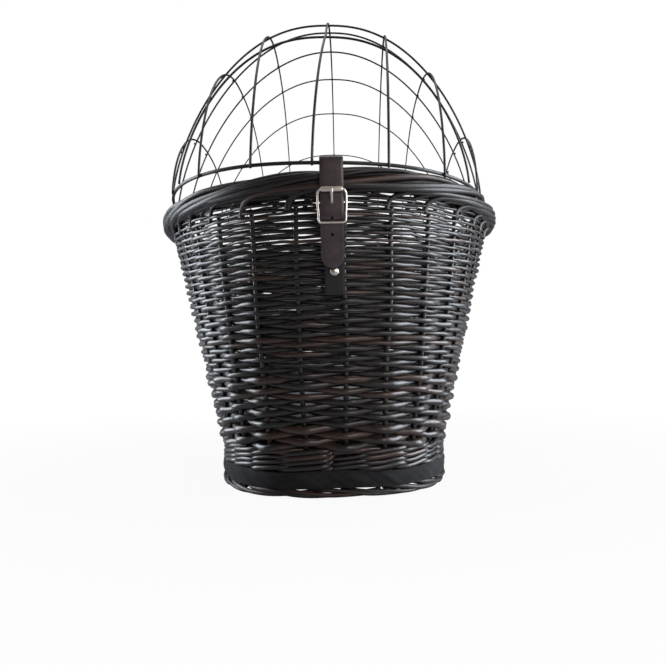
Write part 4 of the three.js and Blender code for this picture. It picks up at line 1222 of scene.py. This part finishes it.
def make_stitches(path, thread):
    """A row of stitches along both edges, which follows the rounded tip."""
    travel, out = travelled(path), strip_normals(path)
    end = travel[-1] - STITCH_INSET
    line = []
    for place in np.linspace(STITCH_START, end, 400):
        half = strap_half_width(travel[-1] - place) - STITCH_INSET
        if half > 0.4 * MM:
            line.append((half, place))
    line.append((0.0, end))
    right = np.array(line)
    left = right[::-1] * (-1, 1)
    outline = np.vstack([right, left[1:]])
    count = int(travelled(outline)[-1] / STITCH_PITCH)
    spots = even(outline, count * 5 + 1)
    stitches = Rods()
    for index in range(count):
        points = []
        for (across, place), drop in zip(spots[index * 5:], (0.35, 0.0, 0.0, 0.35)):
            centre = [np.interp(place, travel, column) for column in path.T]
            normal = [np.interp(place, travel, column) for column in out.T]
            height = STRAP_THICKNESS / 2 - STITCH_SUNK - drop * MM
            reach, z = (c + n * height for c, n in zip(centre, normal))
            points.append((CLOSURE_X + across, -reach, z))
        stitches.add(points, STITCH_RADIUS, sides=6, up=(0, -1, 0.1))
    dress(stitches.build("strap_stitches"), thread, "hood", "strap_leather")


def make_tab(leather):
    on_wall = GAP + TAB_THICKNESS / 2
    behind = closure.bottom_strap - STRAP_THICKNESS / 2 - on_wall
    path = spline([
        (closure.middle - 0.8 * MM, buckle_middle - 1.6 * MM),
        (behind - 0.6 * MM, buckle_bottom - 1 * MM),
        (behind - 5.4 * MM, buckle_bottom - 10 * MM),
        (wall_reach(tab_rivet) + on_wall + 2.4 * MM, tab_rivet + 8 * MM),
        (wall_reach(tab_rivet) + on_wall + 0.1 * MM, tab_rivet),
        (wall_reach(tab_bottom) + on_wall + 0.1 * MM, tab_bottom),
    ], 70)
    piece = strip("buckle_tab_leather", path, lambda left: TAB_WIDTH / 2, TAB_THICKNESS,
                  CLOSURE_X + TAB_SHIFT, 0.15 * MM)
    punch(piece, [(CLOSURE_X, buckle_middle + 0.5 * MM, *TAB_SLOT)])
    dress(piece, leather, "basket", "tab_leather", "buckle_tab")


# The buckle and the rivets


def rounded_loop(points, count):
    """A closed smooth loop through the points."""
    points = np.asarray(points)
    wrapped = np.vstack([points[-3:], points, points[:3]])
    fine = spline(wrapped, 40 * len(wrapped))
    half = len(fine) // 2
    away = np.linalg.norm(fine - points[0], axis=1)
    first, second = np.argmin(away[:half]), half + np.argmin(away[half:])
    return even(fine[first:second + 1], count + 1)[:-1]


def mirrored(right, middle):
    """Closure places, from the right side by the middle to the left side, off the basket's x."""
    line = right + [middle] + [(-x, *rest) for x, *rest in reversed(right)]
    return [(CLOSURE_X + x, *rest) for x, *rest in line]


def make_frame(metal):
    half = BUCKLE_HALF
    slope = (closure.roller - closure.bottom) / (buckle_top - buckle_bottom)
    right = [
        (half - 2.4 * MM, buckle_bottom),
        (half - 0.9 * MM, buckle_bottom + 0.5 * MM),
        (half - 0.1 * MM, buckle_bottom + 2.2 * MM),
        (half, buckle_middle),
        (half + 0.5 * MM, buckle_middle + 8 * MM),
        (half + 0.4 * MM, buckle_top - 4 * MM),
        (half - 0.2 * MM, buckle_top - 1.6 * MM),
        (half - 1.1 * MM, buckle_top - 0.3 * MM),
        (half - 2.6 * MM, buckle_top),
    ]

    def reach_at(z):
        return closure.bottom + (z - buckle_bottom) * slope

    outline = mirrored(right, (0, buckle_top)) + [(CLOSURE_X, buckle_bottom)]
    rods = Rods()
    corners = [(x, -reach_at(z), z) for x, z in outline]
    rods.add(rounded_loop(corners, 170), BUCKLE_WIRE / 2, closed=True, sides=16, up=(0, -1, 0.1))
    side_reach = reach_at(buckle_middle)
    bar = mirrored([
        (half, -side_reach, buckle_middle),
        (half - 0.3 * MM, -(side_reach + closure.middle) / 2, buckle_middle),
        (half - 0.9 * MM, -closure.middle, buckle_middle),
    ], (0, -closure.middle, buckle_middle))
    rods.add(spline(bar[::-1], 60), BUCKLE_WIRE / 2, sides=12)
    dress(rods.build("buckle_wire_frame"), metal, "basket", "buckle_metal", "buckle_frame")


def make_roller(metal):
    low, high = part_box("buckle_roller")
    ends = np.array([0.0, 0.25, 0.7]) * MM
    rounding = np.array([0.82, 0.97, 1.0])
    radii = np.concatenate([rounding, rounding[::-1]]) * (high.z - low.z) / 2
    places = np.concatenate([low.x + ends, high.x - ends[::-1]])
    points = [(x, (low.y + high.y) / 2, (low.z + high.z) / 2) for x in places]
    barrel = Rods()
    barrel.add(points, radii, sides=28)
    dress(barrel.build("buckle_barrel"), metal, "roller", "buckle_metal", "buckle_roller")


def make_prong(metal):
    """The prong's wire, and its eye round the buckle's centre bar."""
    middle = closure.middle
    over_roller = closure.roller + ROLLER_RADIUS + GAP + PRONG_WIRE / 2
    prong = spline([
        (middle - 0.5 * MM, buckle_middle + 2.2 * MM),
        (middle - 0.1 * MM, buckle_middle + 4 * MM),
        (middle + 1.8 * MM, buckle_middle + 6.8 * MM),
        (middle + 4.2 * MM, buckle_middle + 9 * MM),
        (closure.roller - 0.6 * MM, buckle_top - 6.2 * MM),
        (over_roller, buckle_top - 2.2 * MM),
        (over_roller, buckle_top + 0.8 * MM),
    ], 40)
    points = [(CLOSURE_X, -reach, z) for reach, z in prong]
    pointed = np.interp(np.linspace(0, 1, 40), [0, 0.85, 0.95, 1], [1, 1, 0.8, 0.35])
    pin = Rods()
    pin.add(points, pointed * PRONG_WIRE / 2 * PRONG_FULLNESS, sides=12, up=(1, 0, 0))
    eye = BUCKLE_WIRE / 2 + GAP + 0.55 * MM
    ring = []
    for turn in np.linspace(0, 2 * np.pi, 25)[:-1]:
        reach, rise = middle - eye * math.cos(turn), eye * math.sin(turn)
        ring.append((CLOSURE_X, -reach, buckle_middle + rise))
    pin.add(ring, 0.6 * MM, closed=True, sides=10, up=(1, 0, 0))
    dress(pin.build("buckle_pin"), metal, "prong", "buckle_metal", "buckle_prong")


def rounded_cad(name, material, bevel, degrees=35):
    """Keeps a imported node's shape, with soft edges and its own material."""
    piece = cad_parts[name]
    piece.data.materials.clear()
    piece.data.materials.append(material)
    smooth_by_angle(piece.data, degrees)
    if bevel:
        modifier = piece.modifiers.new("edges", "BEVEL")
        modifier.width = bevel
        modifier.segments = 3
        modifier.limit_method = "ANGLE"
        modifier.angle_limit = math.radians(degrees)
        modifier.harden_normals = False


def make_rivets(metal):
    """The tab's domed rivet, whose washer lies inside the wall, and the hinge loops' rivets."""
    low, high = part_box("tab_rivet")
    centre = np.array([(low.x + high.x) / 2, low.y + RIVET_SEAT, (low.z + high.z) / 2])
    depth = (high.y - low.y - RIVET_SEAT) * 0.9
    dome = [(0.02, 1.0), (0.35, 0.96), (0.62, 0.82), (0.84, 0.55), (0.97, 0.22), (1.0, 0.04)]
    shank = [(1.0, 0.0), (0.5, 0.01), (0.5, 1.0)]
    washer = [(1.2, 1.0), (1.25, 1.06), (1.1, 1.1), (0.02, 1.12)]
    profile = [(radius, -RIVET_DOME * rise) for radius, rise in dome]
    profile += [(radius, depth * back) for radius, back in shank + washer]
    points = [centre + (0, back, 0) for _, back in profile]
    rivet = Rods()
    rivet.add(points, [radius * RIVET_HEAD / 2 for radius, _ in profile], sides=28)
    dress(rivet.build("tab_rivet_dome"), metal, "basket", "rivet_metal", "tab_rivet")
    for side in ("left", "right"):
        rounded_cad(f"hinge_rivet_{side}", metal, 0.0, 40)


# Soft pieces


def make_band(material):
    """The pile strip round the foot: a soft sheet with folds, a little loose at its edges."""
    low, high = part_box("base_band")
    share = np.arange(BAND_POINTS) / BAND_POINTS
    lower = low.z - 0.8 * MM + 0.9 * MM * fold_noise(share, (3, 5, 8, 13), 11)
    upper = high.z - 0.3 * MM + 0.8 * MM * fold_noise(share, (4, 7, 11), 12)
    slow = fold_noise(share, (6, 9, 15), 14) * 0.35 * MM
    layers = []
    for part in np.linspace(0, 1, BAND_ROWS):
        z = lower + (upper - lower) * part
        bulge = math.sin(math.pi * (0.08 + 0.84 * part))
        folds = fold_noise(share + 0.02 * (part - 0.5), (31, 47, 73, 97), 13) * 0.45 * MM
        layers.append(wall.at(share, z, 0.4 * MM - bulge * (BAND_BULGE + slow + folds)))
    layers.append(wall.at(share, upper - 0.3 * MM, BAND_BACK))
    layers.append(wall.at(share, lower + 0.3 * MM, BAND_BACK))
    faces = quads(len(layers), BAND_POINTS, closed=True)
    piece = solid_piece("velvet_band", np.concatenate(layers).tolist(), faces, 65)
    dress(piece, material, "basket", "band_fabric", "base_band")


def make_cushion(material):
    low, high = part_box("floor_cushion")
    half_width, half_length = high.x - CUSHION_START, high.y - CUSHION_START
    bottom, top = low.z + 0.5 * MM, high.z - CUSHION_TOP_GAP
    layers = (
        (0.90, bottom), (0.97, bottom + 8 * MM), (1.0, bottom + 18 * MM),
        (1.0, top - 16 * MM), (0.96, top - 6 * MM), (0.88, top),
    )
    turn = 2 * np.pi * np.arange(CUSHION_POINTS) / CUSHION_POINTS
    verts = []
    for scale, z in layers:
        x, y = squared_round(turn, half_width * scale, half_length * scale, BASE_SQUARENESS)
        verts.extend(np.column_stack([x, y, np.full(CUSHION_POINTS, z)]).tolist())
    faces = quads(len(layers), CUSHION_POINTS)
    faces.append(tuple(reversed(range(CUSHION_POINTS))))
    faces.append(tuple((len(layers) - 1) * CUSHION_POINTS + j for j in range(CUSHION_POINTS)))
    mesh = bpy.data.meshes.new("cushion_pad")
    mesh.from_pydata(verts, [], faces)
    piece = linked("cushion_pad", mesh)
    remesh = piece.modifiers.new("remesh", "REMESH")
    remesh.mode = "VOXEL"
    remesh.voxel_size = CUSHION_VOXEL
    apply_modifiers(piece)
    swell(piece, bottom)
    smooth = piece.modifiers.new("smooth", "SUBSURF")
    smooth.levels = 1
    apply_modifiers(piece)
    piece.data.polygons.foreach_set("use_smooth", [True] * len(piece.data.polygons))
    dress(piece, material, "basket", "cushion_fabric", "floor_cushion")
    make_piping(material, half_width, half_length, top - PIPING_DROP)


def read_places(mesh):
    places = np.zeros(len(mesh.vertices) * 3)
    mesh.vertices.foreach_get("co", places)
    return places.reshape(-1, 3)


def swell(piece, bottom):
    """Blows the cushion up like a stuffed cover, then limits how far any point moved."""
    scene = bpy.context.scene
    before = read_places(piece.data)
    cloth = piece.modifiers.new("cloth", "CLOTH")
    cloth.settings.use_pressure = True
    cloth.settings.uniform_pressure_force = 4
    cloth.settings.effector_weights.gravity = 0
    cloth.settings.quality = 5
    cloth.point_cache.frame_start = 1
    cloth.point_cache.frame_end = CLOTH_FRAMES
    for number in range(1, CLOTH_FRAMES + 1):
        scene.frame_set(number)
    evaluated = piece.evaluated_get(bpy.context.evaluated_depsgraph_get())
    move = read_places(evaluated.data) - before
    piece.modifiers.clear()
    scene.frame_set(1)
    length = np.maximum(np.linalg.norm(move, axis=1, keepdims=True), 1e-9)
    after = before + move * np.minimum(1, CUSHION_SWELL / length)
    after[:, 2] = np.maximum(after[:, 2], bottom - 0.3 * MM)
    piece.data.vertices.foreach_set("co", after.ravel())
    piece.data.update()


def make_piping(material, half_width, half_length, z):
    """The corded seam round the cushion's side."""
    table = oval_table(half_width + PIPING_OUT, half_length + PIPING_OUT, BASE_SQUARENESS, 260)
    points = np.column_stack([table[:, :2], np.full(len(table), z)])
    cord = Rods()
    cord.add(points, PIPING_RADIUS, closed=True)
    dress(cord.build("cushion_piping"), material, "basket", "cushion_fabric")


# The finished scene

side_low, side_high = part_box("side_weave")
rim_low_corner, rim_high_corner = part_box("rim_border")
wall_bottom, wall_top = side_low.z, side_high.z
wale_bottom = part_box("bottom_wale")[0].z
skirt_bottom, skirt_top = (corner.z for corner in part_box("foot_skirt"))
rim_top = rim_high_corner.z
rim_middle = (rim_low_corner.z + rim_high_corner.z) / 2
ring_height = rim_top + RING_LIFT
strap_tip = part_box("closure_strap")[0].z
buckle_top = rim_top - BUCKLE_TOP_DROP
buckle_middle = rim_top - BUCKLE_MIDDLE_DROP
buckle_bottom = rim_top - BUCKLE_BOTTOM_DROP
tab_rivet = rim_top - TAB_RIVET_DROP
tab_bottom = rim_top - TAB_END_DROP
wall = Wall()
closure = closure_places()

bpy.context.scene.view_settings.view_transform = "Standard"
make_camera()
make_world()
make_floor()
for lamp in LAMPS:
    make_lamp(*lamp)

willow = willow_material(
    "black_willow", (0.0115, 0.0080, 0.0066), (0.046, 0.023, 0.015), 0.32, 0.42)
border_willow = willow_material(
    "border_willow_rods", (0.0125, 0.0085, 0.0070), (0.044, 0.022, 0.015), 0.42, 0.12)
wire = wire_material()
strap_leather = leather_material(
    "brown_leather", (0.030, 0.0195, 0.0225), (0.074, 0.046, 0.050), 0.35, 0.35)
tab_leather = leather_material(
    "black_leather", (0.006, 0.006, 0.0065), (0.012, 0.012, 0.013), 0.5, 0.1)
nickel = metal_material(
    "pale_nickel", (0.72, 0.63, 0.55), (0.90, 0.81, 0.73), 0.30, 0.46, (1, 6, 6))
rivet_nickel = metal_material(
    "rivet_nickel", (0.62, 0.56, 0.47), (0.80, 0.73, 0.63), 0.24, 0.40, (3, 1, 3))
zinc = metal_material(
    "zinc_steel", (0.42, 0.43, 0.44), (0.58, 0.59, 0.60), 0.3, 0.55, (1, 8, 8))
velvet = velvet_material()
grey_cover = cushion_material()
dark_thread = thread_material("dark_thread", (0.004, 0.0035, 0.0035), 0.7)

make_side_weave(willow)
make_wale(willow)
make_skirt(willow)
make_rim(border_willow)
make_foot(border_willow)
make_base(willow)
make_hood(wire)
make_strap(strap_leather, dark_thread)
make_tab(tab_leather)
make_frame(nickel)
make_roller(nickel)
make_prong(nickel)
make_rivets(rivet_nickel)
make_band(velvet)
make_cushion(grey_cover)
for side in ("left", "right"):
    rounded_cad(f"hinge_loop_{side}", tab_leather, 0.4 * MM)
for end in ("rear", "front"):
    rounded_cad(f"floor_plate_{end}", zinc, 0.5 * MM)
    rounded_cad(f"clamp_bar_{end}", zinc, 0.6 * MM)
    for side in ("left", "right"):
        rounded_cad(f"clamp_bolt_{end}_{side}", zinc, 0.0, 40)
        rounded_cad(f"wing_nut_{end}_{side}", zinc, 0.4 * MM)
